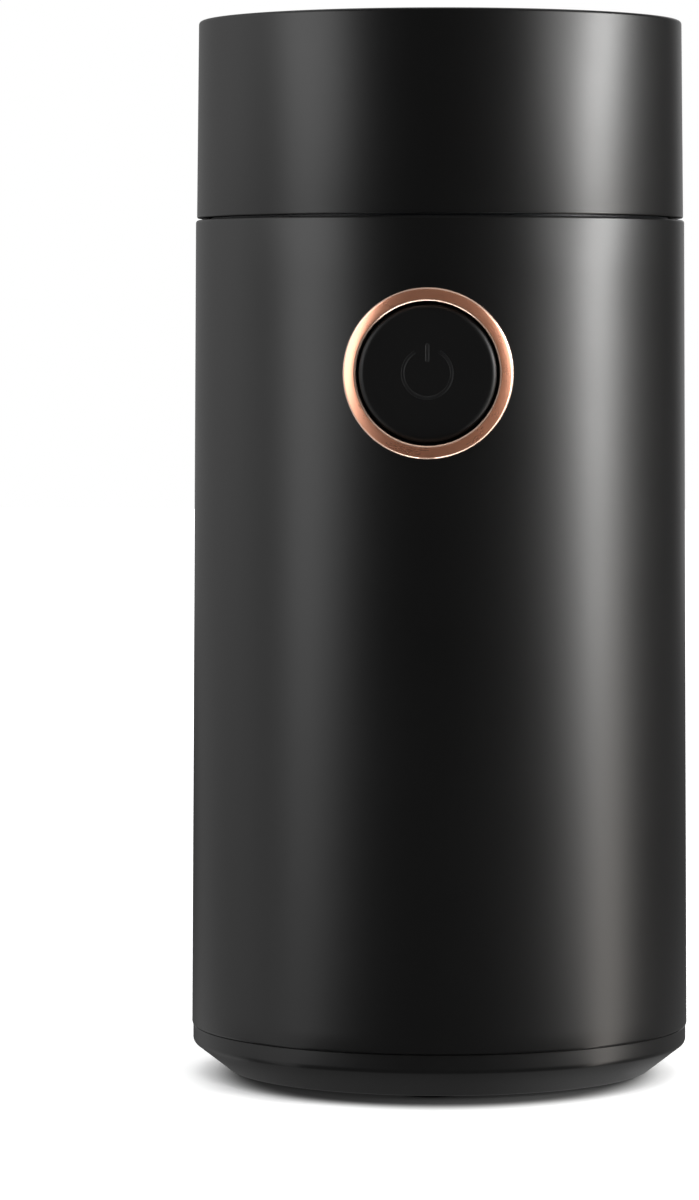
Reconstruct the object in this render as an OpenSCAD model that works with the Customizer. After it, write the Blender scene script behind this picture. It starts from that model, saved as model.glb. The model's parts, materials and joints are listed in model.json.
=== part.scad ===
// Electric spice grinder: a one-button blade grinder with a lift-off lid.
// Millimetres. +Z is up, the button faces -Y, the origin is on the table under the middle.

/* [Casing] */
// Overall height, from the table to the top of the lid
total_h = 190; // [186:1:200]
// Diameter of the body at its lower edge
body_d = 90; // [88:0.5:96]
// How much the body's radius shrinks from its lower edge to its top
body_draft = 0.9; // [0.4:0.1:1.4]
// Wall of the body shell
wall = 2.0; // [1.6:0.1:2.4]
// Rounding of the body's top edge
body_edge = 0.5; // [0.3:0.1:0.8]
// Rounding of the body's lower edge
foot_edge = 0.4; // [0.2:0.1:0.8]

/* [Lid] */
// Height of the lid above the seam
lid_h = 35.4; // [34:0.2:38]
// Dark seam between the lid and the body
seam_gap = 0.35; // [0.3:0.05:0.6]
// Step from the body's top radius in to the lid's radius
lid_step = 0.2; // [0:0.1:0.5]
// How much the lid's radius shrinks towards its top
lid_draft = 0.4; // [0.2:0.1:0.8]
// Wall of the lid shell
lid_wall = 2.0; // [1.6:0.1:2.4]
// Rounding of the lid's top edge
lid_edge = 0.6; // [0.4:0.1:1.2]
// Wall of the inner cup of the lid
liner_wall = 1.4; // [1.2:0.1:1.8]
// Rounding inside the top corner of the inner cup
liner_corner = 5; // [3:0.5:8]

/* [Base] */
// How far the rubber feet stand out below the base
foot_proud = 0.6; // [0.5:0.1:1]
// Height of the chamfer round the base
chamfer_h = 5.0; // [4:0.2:6]
// Width of the chamfer round the base
chamfer_w = 6.5; // [5.5:0.1:7]
// Height of the straight band above the chamfer
band_h = 3.1; // [2.5:0.1:4]
// How far the band lies inside the body's edge
band_step = 0.2; // [0.1:0.05:0.4]
// Rounding between the band and the chamfer
band_fillet = 1.2; // [0.6:0.1:1.6]
// Thickness of the base's floor and wall
base_t = 2.4; // [2.2:0.1:3]
// Height of the base's spigot inside the body
spigot_h = 4.3; // [3.5:0.1:6]
// Diameter of a rubber foot
foot_d = 10.8; // [9:0.2:11.6]
// Radius of the circle that the feet stand on
feet_ring_r = 30.5; // [29:0.5:31]
// Width of an air slot in the base
slot_w = 2.2; // [1.6:0.1:2.6]
// Distance between air slots
slot_pitch = 4.8; // [4.4:0.1:6]
// Radius of the patch of air slots
vent_r = 20; // [14:0.5:21]

/* [Bowl] */
// Depth of the steel bowl
bowl_depth = 45; // [42:0.5:46.5]
// Sheet thickness of the steel bowl
bowl_t = 0.6; // [0.5:0.05:0.8]
// Inner radius between the bowl's wall and its floor
bowl_corner = 14; // [11:0.5:15]
// Height of the bowl's rim above the seam
neck_h = 13.4; // [12:0.2:14]
// Width of the bowl's rolled rim
rim_w = 2.8; // [2.2:0.1:3]
// Wall of the inner frame that carries the bowl and the motor
frame_wall = 1.6; // [1.4:0.1:1.8]
// Diameter of a post of the inner frame
post_d = 8; // [7:0.2:8.4]
// Gap between the lid's wall and the neck that it slides over
neck_gap = 0.7; // [0.5:0.05:0.9]

/* [Blade] */
// Gap between the blade's tips and the bowl's wall
tip_gap = 5.5; // [4.5:0.5:9.5]
// Width of the blade at its middle
blade_w = 12; // [10:0.5:14]
// Thickness of the blade
blade_t = 1.6; // [1.2:0.1:2]
// Height of the blade above the bowl's floor
blade_lift = 7; // [6:0.5:9]
// Angle of the tip that is bent up
tip_up = 24; // [15:1:30]
// Angle of the tip that is bent down
tip_down = 9; // [4:1:10]

/* [Button] */
// Distance of the button's centre below the seam
button_drop = 27.6; // [26:0.2:30]
// Outer diameter of the metal ring
ring_d = 29.7; // [29.2:0.1:30.2]
// Opening of the metal ring
ring_bore_d = 25; // [24.6:0.1:25.2]
// How far the ring stands out of the body
ring_proud = 0.73; // [0.5:0.01:0.73]
// Bevel on the ring's two edges
ring_bevel = 0.42; // [0.2:0.02:0.46]
// Diameter of the button cap
cap_d = 23.4; // [22.8:0.1:23.8]
// How far the flat cap stands out of the body at its middle
cap_proud = 0.1; // [-0.2:0.05:0.3]
// Rounding of the cap's edge
cap_edge = 0.9; // [0.5:0.1:1.2]
// Travel of the button
button_travel = 1.8; // [1.2:0.1:1.9]

/* [Motor] */
// Diameter of the motor shaft
shaft_d = 5; // [4.6:0.1:5.4]
// Width of the stator core across its poles
stator_w = 54; // [52:0.5:56]
// Depth of the stator core
stator_d = 46; // [44:0.5:47]
// Height of the stack of laminations
stack_h = 24; // [20:0.5:26]
// Diameter of the armature core
armature_d = 29; // [27:0.2:29.4]
// Slots of the armature
armature_slots = 12; // [10:1:14]
// Diameter of the commutator
commutator_d = 17; // [16:0.2:18]
// Diameter of the cooling fan
fan_d = 48; // [42:0.5:50]
// Height of the cooling fan
fan_h = 9; // [7:0.5:10]
// Vanes of the cooling fan
fan_vanes = 11; // [9:1:13]
// Sheet thickness of the motor's brackets
bracket_t = 2; // [1.6:0.1:2.2]

/* [Interlock] */
// Travel of the safety rod when the lid comes off
rod_travel = 2; // [1.5:0.1:2]
// Diameter of the safety rod
rod_d = 2.6; // [2.4:0.05:2.8]

/* [Fits] */
// Radial clearance of a shaft or guide that runs in its hole
run_fit = 0.04; // [0.02:0.01:0.08]
// Clearance between pieces that only sit beside each other
seat_gap = 0.3; // [0.2:0.05:0.4]
// Clearance of a piece that is pressed into its seat
press_gap = 0.02; // [0.01:0.01:0.05]

/* [Hidden] */

$fn = 96;
cut = 1; // how far a cutting body runs past the face that it opens

// Heights of the casing.
base_z = foot_proud;
band_z = base_z + chamfer_h;
body_z = band_z + band_h;
seam_z = total_h - lid_h;
body_top_z = seam_z - seam_gap;
button_z = seam_z - button_drop;

// Radii of the casing.
body_r0 = body_d / 2;
body_r1 = body_r0 - body_draft;
lid_r0 = body_r1 - lid_step;
lid_r1 = lid_r0 - lid_draft;
band_r = body_r0 - band_step;
base_r = band_r - chamfer_w;
function body_r(z) = body_r0 - body_draft * (z - body_z) / (body_top_z - body_z);
function lid_r(z) = lid_r0 - lid_draft * (z - seam_z) / lid_h;

// The button's stack, as distances from the grinder's axis, from the inside out. The
// bucket lies button_room inside the body's wall.
button_room = 6.27;
face_r = body_r(button_z);
shell_in_r = face_r - wall;
bucket_r1 = shell_in_r - button_room;
bucket_r0 = bucket_r1 - frame_wall;
housing_t = 1.2;
housing_back = bucket_r1 + seat_gap;
housing_front = housing_back + housing_t;
cap_flange_t = 1.2;
cap_stop_gap = 0.2;
cap_back = housing_front + button_travel + cap_stop_gap;
cap_flange_front = cap_back + cap_flange_t;
ring_back = cap_flange_front + seat_gap;
ring_tube_t = 1.0;
ring_tube_r = ring_bore_d / 2 + ring_tube_t;
cap_flange_w = 0.5;
cap_flange_r = ring_bore_d / 2 + cap_flange_w;
guide_r = cap_flange_r + run_fit;
housing_wall = 1.4;
cap_face = face_r + cap_proud;
cap_plate_t = 2.2;
cap_wall = 1.4;
stem_r = 1.5;
stem_gap = 0.4;
spring_pin_r = 3.2;
spring_pin_h = 1;

// The bowl and the inner frame.
bowl_r = bucket_r0 - seat_gap - bowl_t;
rim_z = seam_z + neck_h;
floor_z = rim_z - bowl_depth;
gasket_t = 1.0;
ledge_z = rim_z - bowl_t - gasket_t;
neck_r = lid_r(seam_z) - lid_wall - neck_gap;
neck_wall = 1.8;
flange_t = 2.3;
flange_z = body_top_z - seat_gap - flange_t;
shell_ledge = 1.9;
frame_floor_top = floor_z - bowl_t - seat_gap;
frame_floor_z = frame_floor_top - frame_wall;
corner_r = bowl_r - bowl_corner;
corner_z = floor_z + bowl_corner;
post_angles = [60, 120, 240, 300];
post_gap = 1.58; // between a post and the stator
post_ring_r = (stator_d / 2 + post_gap + post_d / 2) / sin(post_angles[0]);
post_x = post_ring_r * cos(post_angles[0]);
post_y = post_ring_r * sin(post_angles[0]);
post_z = body_z + spigot_h;
neck_ribs = 8;
rib_t = 1.4;
rib_bite = 0.5;

// The bush that holds the bowl's floor to the frame.
bush_flange_r = 10;
bush_flange_t = 1.4;
bush_r = 7;
bush_drop = 7;
bush_z = frame_floor_z - bush_drop;
nut_af = 21;
nut_h = 4.5;
seal_r = 5.5;
seal_h = 5.8;
seal_lip_h = 1.2;
shaft_r = shaft_d / 2;

// The motor, hung below the frame.
motor_boss_h = 12;
mount_h = 4;
mount_x = 19;
mount_boss_r = 4;
mount_z = frame_floor_z - motor_boss_h;
plate_top_z = mount_z - mount_h;
plate_z = plate_top_z - bracket_t;
upper_space = 11.5;
lower_space = 28;
stator_top_z = plate_z - upper_space;
stator_z = stator_top_z - stack_h;
lower_top_z = stator_z - lower_space;
lower_z = lower_top_z - bracket_t;
bore_gap = 0.5;
armature_r = armature_d / 2;
bore_r = armature_r + bore_gap;
yoke_w = 5.5;
slot_y = stator_d / 2 - yoke_w;
slot_x = stator_w / 2 - yoke_w;
pole_w = 15;
tie_inset = 2.8;
tie_y = stator_d / 2 - tie_inset;
tie_r = 1.6;
hole_gap = 0.1;
leg_y = slot_y;
leg_t = 1.8;
strip_w = 18;
bearing_boss_r = 8;
bearing_boss_h = 6.5;
bearing_r = 6;
bearing_h = 5.5;
bearing_hole_r = 4.4;
bearing_rest = 1;
brush_up = 12;
brush_z = lower_top_z + brush_up;
brush_w = 6;
brush_h = 8;
brush_l = 10;
brush_gap = 0.15;
brush_box_t = 0.8;
brush_box_l = 17.5;
brush_box_gap = 1.6;
commutator_r = commutator_d / 2;
brush_box_r = commutator_r + brush_box_gap;
commutator_up = 5;
commutator_z = lower_top_z + commutator_up;
commutator_h = 13;
riser_h = 1.5;
winding_inset = 1;
winding_r = armature_r - winding_inset;
winding_top = 9;
winding_low = 8;
coil_slot_r = 2.1;
coil_slot_x = armature_r - 3.3;
fan_gap = 1;
fan_top_z = lower_z - bearing_boss_h + bracket_t - fan_gap;
fan_z = fan_top_z - fan_h;
shaft_tail = 2;
shaft_z = fan_z - shaft_tail;
blade_z = floor_z + blade_lift;
half_w = blade_w / 2;
blade_r = bowl_r - tip_gap;
bend_x = blade_r * 0.52;
waist = 0.8;
nose_l = 4;
nose_w = 4.5;
clip = 1.4;
blade_nut_h = 5.4;
nut_roof = 1.4;
shaft_top_z = blade_z + blade_t + blade_nut_h - nut_roof - hole_gap;

// Switches: a body with its plunger in the middle of one long face.
switch_l = 20;
switch_d = 10.2;
switch_t = 6.4;
switch_peg_x = 4.75;
switch_peg_r = 1.0;
plunger_r = 1.1;
terminal_l = 4;
terminal_x = 7;
touch_gap = 0.1;
plunger_tail = 0.8;
main_switch_drop = 10;
main_switch_z = button_z - main_switch_drop;
main_face = housing_back - touch_gap;
main_plunger = main_face + button_travel + touch_gap;
rod_out = 2.4;
rod_y = bucket_r1 + rod_out;
rod_to_switch = 3.5;
interlock_y = rod_y - rod_to_switch;
interlock_up = 0.8;
interlock_top = floor_z + interlock_up;
interlock_plunger = 0.5;
peg_r = 1.2;
peg_l = 4.6;
peg_gap = 0.45;
peg_room = 1;
liner_up = 1.5;
liner_z = rim_z + liner_up;
seal_mid_r = bowl_r + rim_w / 2 + 0.35;
seal_key_w = 0.48;
seal_key_h = 0.5;
rod_top = liner_z - peg_l - seat_gap;
rod_foot_z = interlock_top + interlock_plunger + touch_gap;
rod_foot_h = 1.2;
collar_r = 2;
collar_h = 1.2;
collar_up = 7.2;
collar_z = corner_z + collar_up;
lug_drop = 5;
lug_z = corner_z - lug_drop;
lug_h = 3;
guide_boss_r = 2.6;
guide_boss_h = 9;

// Screws and small parts.
screw_r = 1.5;
screw_head_r = 3;
screw_head_h = 2.2;
screw_bite = 0.1; // how far a screw's core lies inside the thread's outer radius
screw_core_r = screw_r - screw_bite;
screw_hole_r = screw_r + 0.2;
base_recess_r = 3.8;
base_recess_h = 6.5;
foot_seat_h = 1.2;
gland_z = 20;
gland_hole_r = 4.6;
gland_bore_r = 3.3;
gland_flange_r = 6.6;
gland_flange_t = 1.8;
gland_tail = 4;
lead_r = 1.1;
tray_t = 1.6;
tray_z = stator_top_z - 6;
capacitor = [17, 6.4, 11.5];

// Where the leads end: inside the gland, behind the main switch, below the safety switch
// and at the outer end of a brush holder.
lead_gap = 0.3;
gland_end = body_r(gland_z) - wall - gland_flange_t - gland_tail - lead_gap;
main_end = -(main_face - switch_d - terminal_l - lead_gap);
safe_end = interlock_top - switch_d - terminal_l - lead_gap;
brush_end = brush_box_r + brush_box_l + lead_gap + lead_r;

// Points of an arc round c, from angle a0 to a1.
function arc(c, r, a0, a1, n = 8) =
    [for (i = [0:n]) c + r * [cos(a0 + (a1 - a0) * i / n), sin(a0 + (a1 - a0) * i / n)]];
function unit(v) = v / norm(v);
function flatten(lists) = [for (l = lists) each l];

// A rectangle with round corners, centred on the origin.
module round_rect(w, h, r) {
    square([w - 2 * r, h], center = true);
    square([w, h - 2 * r], center = true);
    for (x = [-1, 1], y = [-1, 1])
        translate([x * (w / 2 - r), y * (h / 2 - r)]) circle(r);
}

// A flat ring.
module washer(r1, r0, h) {
    difference() {
        cylinder(h = h, r = r1);
        translate([0, 0, -cut]) cylinder(h = h + 2 * cut, r = r0);
    }
}

// Lays what is drawn along +Z along the button's axis, with z = 0 on the grinder's axis
// and +Z towards the front.
module at_button(z = button_z) {
    translate([0, 0, z]) rotate([90, 0, 0]) children();
}

// A pan-head screw along +Z with its head's underside at z = 0 and the shank above it.
module screw(length, r = screw_r, head_r = screw_head_r, head_h = screw_head_h) {
    cross_w = 0.8;
    cross_l = head_r * 1.2;
    cross_h = 0.9;
    crown = 1;
    difference() {
        union() {
            cylinder(h = length, r = r);
            rotate_extrude()
                polygon(concat([[0, -head_h], [head_r - crown, -head_h]],
                    arc([head_r - crown, -head_h + crown], crown, -90, 0, 4),
                    [[head_r, 0], [0, 0]]));
        }
        for (a = [0, 90]) rotate(a)
            translate([-cross_l / 2, -cross_w / 2, -head_h - cut])
                cube([cross_l, cross_w, cross_h + cut]);
    }
}

// A mesh swept through closed rings of points that all have the same count.
module sweep(rings) {
    n = len(rings[0]);
    m = len(rings);
    points = flatten(rings);
    sides = [for (i = [0:m - 2], j = [0:n - 1])
        [i * n + j, i * n + (j + 1) % n, (i + 1) * n + (j + 1) % n, (i + 1) * n + j]];
    caps = [[for (j = [n - 1:-1:0]) j], [for (j = [0:n - 1]) (m - 1) * n + j]];
    polyhedron(points, concat(sides, caps), convexity = 6);
}

// A compression spring along +Z.
module coil_spring(r, wire_r, length, turns, steps = 14, sides = 6) {
    n = ceil(turns * steps);
    reach = length - 2 * wire_r;
    sweep([for (i = [0:n]) let (a = 360 * turns * i / n)
        [for (j = [0:sides - 1]) let (b = 360 * j / sides)
            [(r + wire_r * cos(b)) * cos(a), (r + wire_r * cos(b)) * sin(a),
                wire_r + reach * i / n + wire_r * sin(b)]]]);
}

// A wire of round section through hand-set points, smoothed between them. Its rings are
// lined up by side, a direction that the wire never runs along.
function spline(p, i, t) =
    let (a = p[max(i - 1, 0)], b = p[i], c = p[i + 1], d = p[min(i + 2, len(p) - 1)])
    0.5 * (2 * b + (c - a) * t + (2 * a - 5 * b + 4 * c - d) * t * t
        + (3 * b - a - 3 * c + d) * t * t * t);
module lead(p, side, steps = 4, sides = 8, r = lead_r) {
    path = concat([for (i = [0:len(p) - 2], k = [0:steps - 1]) spline(p, i, k / steps)],
        [p[len(p) - 1]]);
    last = len(path) - 1;
    sweep([for (i = [0:last])
        let (t = unit(path[min(i + 1, last)] - path[max(i - 1, 0)]),
            u = unit(cross(t, side)), v = cross(t, u))
        [for (j = [0:sides - 1]) path[i] + r * (cos(360 * j / sides) * v
            + sin(360 * j / sides) * u)]]);
}

// ---- Lid ----

// Outer cup of the lid, with a snap rib for the inner cup and three grip ribs at the mouth.
module lid_shell() {
    mouth_edge = 0.3;
    snap_h = 0.8;
    snap_w = 0.6;
    snap_lead = 2;
    grip_h = 7;
    grip_w = 3;
    grip_up = 2;
    in_r0 = lid_r(seam_z) - lid_wall;
    in_r1 = lid_r1 - lid_wall;
    roof_z = total_h - lid_wall;
    snap_z = liner_z - seat_gap - snap_h;
    color("#1b1b1c") {
        rotate_extrude()
            polygon(concat([[in_r0, seam_z]],
                arc([lid_r0 - mouth_edge, seam_z + mouth_edge], mouth_edge, -90, 0, 4),
                arc([lid_r1 - lid_edge, total_h - lid_edge], lid_edge, 0, 90, 6),
                [[0, total_h], [0, roof_z], [in_r1, roof_z],
                    [lid_r(snap_z + snap_h) - lid_wall, snap_z + snap_h],
                    [neck_r - snap_w, snap_z + snap_h], [neck_r - snap_w, snap_z],
                    [lid_r(snap_z - snap_lead) - lid_wall, snap_z - snap_lead]]));
        for (a = [30, 150, 270]) rotate(a)
            translate([neck_r + seat_gap, -grip_w / 2, seam_z + grip_up])
                cube([lid_wall, grip_w, grip_h]);
    }
}

// Inner cup of the lid: the roof of the grinding chamber, with a peg for the safety rod.
module lid_liner() {
    flange_r = neck_r + 0.1;
    flange_h = 1.5;
    lip_r = bowl_r + 0.5;
    cup_out = 4.9;
    wall_r = bowl_r + cup_out;
    taper = 1.4;
    roof_z = total_h - lid_wall - 2 * seat_gap;
    c = liner_corner;
    groove_h = seal_key_h + hole_gap;
    color("#55585a") difference() {
        union() {
            rotate_extrude()
                polygon(concat([[lip_r, liner_z], [flange_r, liner_z],
                    [flange_r, liner_z + flange_h], [wall_r, liner_z + flange_h]],
                    arc([wall_r - taper - c, roof_z - c], c, 0, 90, 6),
                    [[0, roof_z], [0, roof_z - liner_wall]],
                    arc([wall_r - taper - c, roof_z - c], c - liner_wall, 90, 0, 6),
                    [[wall_r - liner_wall, liner_z + flange_h], [lip_r, liner_z + flange_h]]));
            translate([0, rod_y, liner_z - peg_l]) cylinder(h = peg_l + flange_h / 2, r = peg_r);
        }
        translate([0, 0, liner_z - cut])
            washer(seal_mid_r + seal_key_w + press_gap, seal_mid_r - seal_key_w - press_gap,
                cut + groove_h);
    }
}

// Silicone ring that seals the inner cup on the bowl's rim.
module lid_seal() {
    half_w = 0.9;
    h = liner_up - seat_gap;
    overlap = 0.1;
    color("#8f9294") translate([0, 0, rim_z + seat_gap]) {
        washer(seal_mid_r + half_w, seal_mid_r - half_w, h);
        translate([0, 0, h - overlap])
            washer(seal_mid_r + seal_key_w, seal_mid_r - seal_key_w, seal_key_h + overlap);
    }
}

// ---- Body ----

// Outer sleeve, open at both ends, with a ledge for the frame and holes for the button
// and the cord gland.
module body_shell() {
    ledge_h = 2;
    ledge_r = body_r(flange_z) - wall - shell_ledge;
    slope_z = flange_z - ledge_h - shell_ledge;
    color("#1b1b1c") difference() {
        rotate_extrude()
            polygon(concat([[body_r0 - wall, body_z]],
                arc([body_r0 - foot_edge, body_z + foot_edge], foot_edge, -90, 0, 4),
                arc([body_r1 - body_edge, body_top_z - body_edge], body_edge, 0, 90, 5),
                [[body_r1 - wall, body_top_z], [body_r(flange_z) - wall, flange_z],
                    [ledge_r, flange_z], [ledge_r, flange_z - ledge_h],
                    [body_r(slope_z) - wall, slope_z]]));
        at_button() translate([0, 0, cap_back]) cylinder(h = body_r0, r = ring_tube_r + press_gap);
        translate([0, 0, gland_z]) rotate([-90, 0, 0])
            cylinder(h = body_d, r = gland_hole_r);
    }
}

// The two pegs that hold a switch.
module switch_pegs(depth) {
    for (x = [-1, 1]) translate([x * switch_peg_x, 0, 0]) cylinder(h = depth, r = switch_peg_r);
}

// Inner frame: the bucket round the bowl, the neck under the lid, the four posts that the
// base screws pull on, the motor's bosses and the switches' shelves.
module inner_frame() {
    flange_gap = 0.2;
    flange_r = body_r(flange_z) - wall - flange_gap;
    neck_edge = 0.6;
    shelf_t = 1.6;
    shelf_bite = 1.5; // how far a shelf runs into the posts and the wall
    shelf_x = post_x - post_d / 2 + shelf_bite;
    peg_h = 4;
    post_screw_h = 15;
    mount_screw_h = 10;
    main_shelf_z = main_switch_z - switch_t / 2;
    shelf_back = 0.4;
    wall_y = interlock_y - switch_t / 2;
    wall_margin = 2;
    lug_y = corner_r + bowl_corner - 1;
    color("#2a2c2f") difference() {
        union() {
            // bucket, ledge and neck
            rotate_extrude()
                polygon(concat([[0, frame_floor_z]],
                    arc([corner_r, corner_z], corner_z - frame_floor_z, -90, 0, 8),
                    [[bucket_r1, ledge_z - frame_wall], [neck_r - neck_wall, ledge_z - frame_wall],
                        [neck_r - neck_wall, flange_z], [flange_r, flange_z],
                        [flange_r, flange_z + flange_t], [neck_r, flange_z + flange_t],
                        [neck_r, ledge_z - neck_edge], [neck_r - neck_edge, ledge_z],
                        [0, ledge_z]]));
            // ribs between the bucket and the neck
            for (i = [0:neck_ribs - 1]) rotate((i + 0.5) * 360 / neck_ribs)
                translate([bucket_r1 - rib_bite, -rib_t / 2, flange_z])
                    cube([neck_r - neck_wall - bucket_r1 + 2 * rib_bite, rib_t,
                        ledge_z - flange_z - frame_wall / 2]);
            // posts down to the base
            for (a = post_angles) rotate(a) translate([post_ring_r, 0, post_z])
                cylinder(h = ledge_z - post_z - frame_wall / 2, d = post_d);
            // motor bosses
            for (x = [-1, 1]) translate([x * mount_x, 0, mount_z])
                cylinder(h = floor_z + bowl_corner / 2 - mount_z, r = mount_boss_r);
            // shelf of the main switch, between the front posts
            translate([-shelf_x, -main_face + shelf_back, main_shelf_z - shelf_t])
                cube([2 * shelf_x, switch_d, shelf_t]);
            translate([0, -main_face + switch_d / 2, main_shelf_z]) switch_pegs(peg_h);
            // wall of the interlock switch, between the rear posts
            translate([-shelf_x, wall_y - shelf_t, interlock_top - switch_d - wall_margin])
                cube([2 * shelf_x, shelf_t, switch_d + 3 * wall_margin]);
            translate([0, wall_y, interlock_top - switch_d / 2])
                rotate([-90, 0, 0]) switch_pegs(peg_h);
            // tray of the capacitor, between the rear posts
            translate([-shelf_x, post_y - capacitor[1] / 2, tray_z])
                cube([2 * shelf_x, capacitor[1] + shelf_bite, tray_t]);
            // guides of the safety rod
            translate([0, rod_y, ledge_z - guide_boss_h])
                cylinder(h = guide_boss_h - frame_wall / 2, r = guide_boss_r);
            translate([-guide_boss_r, lug_y, lug_z])
                cube([2 * guide_boss_r, rod_y - lug_y, lug_h]);
            translate([0, rod_y, lug_z]) cylinder(h = lug_h, r = guide_boss_r);
        }
        // room for the bowl
        rotate_extrude()
            polygon(concat([[0, frame_floor_top]],
                arc([corner_r, corner_z], corner_z - frame_floor_top, -90, 0, 8),
                [[bucket_r0, rim_z], [0, rim_z]]));
        translate([0, 0, frame_floor_z - cut])
            cylinder(h = frame_wall + 2 * cut, r = bush_r + press_gap);
        for (a = post_angles) rotate(a) translate([post_ring_r, 0, post_z - cut])
            cylinder(h = post_screw_h + cut, r = screw_core_r);
        for (x = [-1, 1]) translate([x * mount_x, 0, mount_z - cut])
            cylinder(h = mount_screw_h + cut, r = screw_core_r);
        translate([0, rod_y, lug_z - cut]) cylinder(h = ledge_z, r = rod_d / 2 + run_fit);
        translate([0, rod_y, rod_top - rod_travel - peg_room])
            cylinder(h = ledge_z, r = peg_r + peg_gap);
    }
}

// ---- Bowl ----

// Deep-drawn steel bowl with a rolled rim.
module grinding_bowl() {
    rim_r = bowl_r + rim_w;
    curl = 0.7;
    color("#c9ccd0") difference() {
        rotate_extrude()
            polygon(concat([[0, floor_z - bowl_t]],
                arc([corner_r, corner_z], bowl_corner + bowl_t, -90, 0, 10),
                [[bowl_r + bowl_t, rim_z - bowl_t], [rim_r - bowl_t, rim_z - bowl_t],
                    [rim_r - bowl_t, rim_z - bowl_t - curl], [rim_r, rim_z - bowl_t - curl]],
                arc([rim_r - bowl_t, rim_z - bowl_t], bowl_t, 0, 90, 4),
                arc([bowl_r + bowl_t, rim_z - bowl_t], bowl_t, 90, 180, 4),
                arc([corner_r, corner_z], bowl_corner, 0, -90, 10),
                [[0, floor_z]]));
        translate([0, 0, floor_z - bowl_t - cut])
            cylinder(h = bowl_t + 2 * cut, r = bush_r + press_gap);
    }
}

// Silicone ring between the bowl's rim and the frame's ledge.
module bowl_gasket() {
    color("#8f9294") translate([0, 0, ledge_z])
        washer(bowl_r + rim_w - bowl_t - touch_gap, bucket_r0 + touch_gap, gasket_t);
}

// Flanged bush that clamps the bowl's floor to the frame.
module bowl_bush() {
    edge = 1;
    shaft_room = 0.8;
    color("#b9bdc2") difference() {
        union() {
            translate([0, 0, bush_z])
                cylinder(h = floor_z - bush_z + bush_flange_t / 2, r = bush_r);
            rotate_extrude()
                polygon(concat([[0, floor_z], [bush_flange_r, floor_z]],
                    arc([bush_flange_r - edge, floor_z + bush_flange_t - edge], edge, 0, 90, 4),
                    [[0, floor_z + bush_flange_t]]));
        }
        translate([0, 0, bush_z - cut])
            cylinder(h = floor_z - bush_z + bush_flange_t + 2 * cut, r = shaft_r + shaft_room);
        translate([0, 0, floor_z + bush_flange_t - seal_h])
            cylinder(h = seal_h + cut, r = seal_r);
    }
}

// Hexagon nut under the frame's floor.
module bush_nut() {
    nut_corner = 1.4;
    color("#b9bdc2") translate([0, 0, frame_floor_z - nut_h]) difference() {
        intersection() {
            cylinder(h = nut_h, d = nut_af / cos(30), $fn = 6);
            cylinder(h = nut_h, d = nut_af / cos(30) - nut_corner);
        }
        translate([0, 0, -cut]) cylinder(h = nut_h + 2 * cut, r = bush_r + press_gap);
    }
}

// Lip seal round the shaft, in the top of the bush.
module shaft_seal() {
    in_r = shaft_r + run_fit;
    out_r = seal_r - press_gap;
    skin = 1;
    top = seal_h - seat_gap;
    color("#303234") translate([0, 0, floor_z + bush_flange_t - seal_h])
        rotate_extrude()
            polygon([[in_r, 0], [out_r, 0], [out_r, top], [in_r + 1.2 * skin, top],
                [in_r + skin / 2, seal_h + seal_lip_h], [in_r, seal_h + seal_lip_h],
                [in_r, seal_h - skin], [in_r + skin, seal_h - 2 * skin],
                [in_r + skin, 2 * skin], [in_r, skin]]);
}

// ---- Blade ----

// Half of the blade's section, from its middle out along +X: flat, then bent by angle, and
// longer than the wing. side is 1 for the upper face and -1 for the lower.
function wing_edge(angle, side) =
    let (t = blade_t / 2, mitre = t * tan(angle / 2))
    [[bend_x - side * mitre, side * t],
        [bend_x + blade_r * cos(angle) - side * t * sin(angle),
            blade_r * sin(angle) + side * t * cos(angle)]];

// Half of the blade's outline seen from above, the leading edge last.
wing_outline = [[bend_x, -half_w + waist], [blade_r - nose_l, -half_w + 2 * waist],
    [blade_r, -half_w + nose_w], [blade_r, half_w - waist - clip],
    [blade_r - clip, half_w - waist], [bend_x, half_w - waist]];

// A blade of one bent strip: one wing's tip points up and the other's down, and each has a
// bevel ground on its leading edge.
module blade() {
    rest_angle = 20;
    edge_w = 2.2;
    grind = atan(blade_t / edge_w);
    color("#d4d7da") translate([0, 0, blade_z + blade_t / 2]) rotate(rest_angle) difference() {
        intersection() {
            rotate([90, 0, 0]) linear_extrude(blade_w + 2 * cut, center = true)
                polygon(concat(wing_edge(tip_up, -1), [for (i = [1, 0]) wing_edge(tip_up, 1)[i]],
                    [for (p = wing_edge(-tip_down, 1)) [-p[0], p[1]]],
                    [for (i = [1, 0]) let (p = wing_edge(-tip_down, -1)[i]) [-p[0], p[1]]]));
            linear_extrude(2 * blade_r, center = true)
                polygon(concat([[0, -half_w]], wing_outline, [[0, half_w]],
                    [for (p = wing_outline) -p]));
        }
        cylinder(h = 2 * blade_t, r = shaft_r + press_gap, center = true);
        for (w = [[0, tip_up], [180, -tip_down]]) rotate(w[0])
            translate([bend_x, 0, 0]) rotate([0, -w[1], 0])
                translate([blade_t, half_w - waist - edge_w, blade_t / 2]) rotate([-grind, 0, 0])
                    cube([blade_r, 2 * edge_w, 2 * blade_t]);
    }
}

// Collar on the shaft that the blade is clamped on.
module blade_spacer() {
    spacer_r = 5;
    edge = 1;
    gap = 0.8;
    low_z = floor_z + bush_flange_t + seal_lip_h + gap;
    color("#b98d4a") translate([0, 0, low_z]) difference() {
        rotate_extrude()
            polygon([[0, 0], [spacer_r - edge, 0], [spacer_r, edge],
                [spacer_r, blade_z - low_z], [0, blade_z - low_z]]);
        translate([0, 0, -cut]) cylinder(h = blade_lift + 2 * cut, r = shaft_r + press_gap);
    }
}

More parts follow.
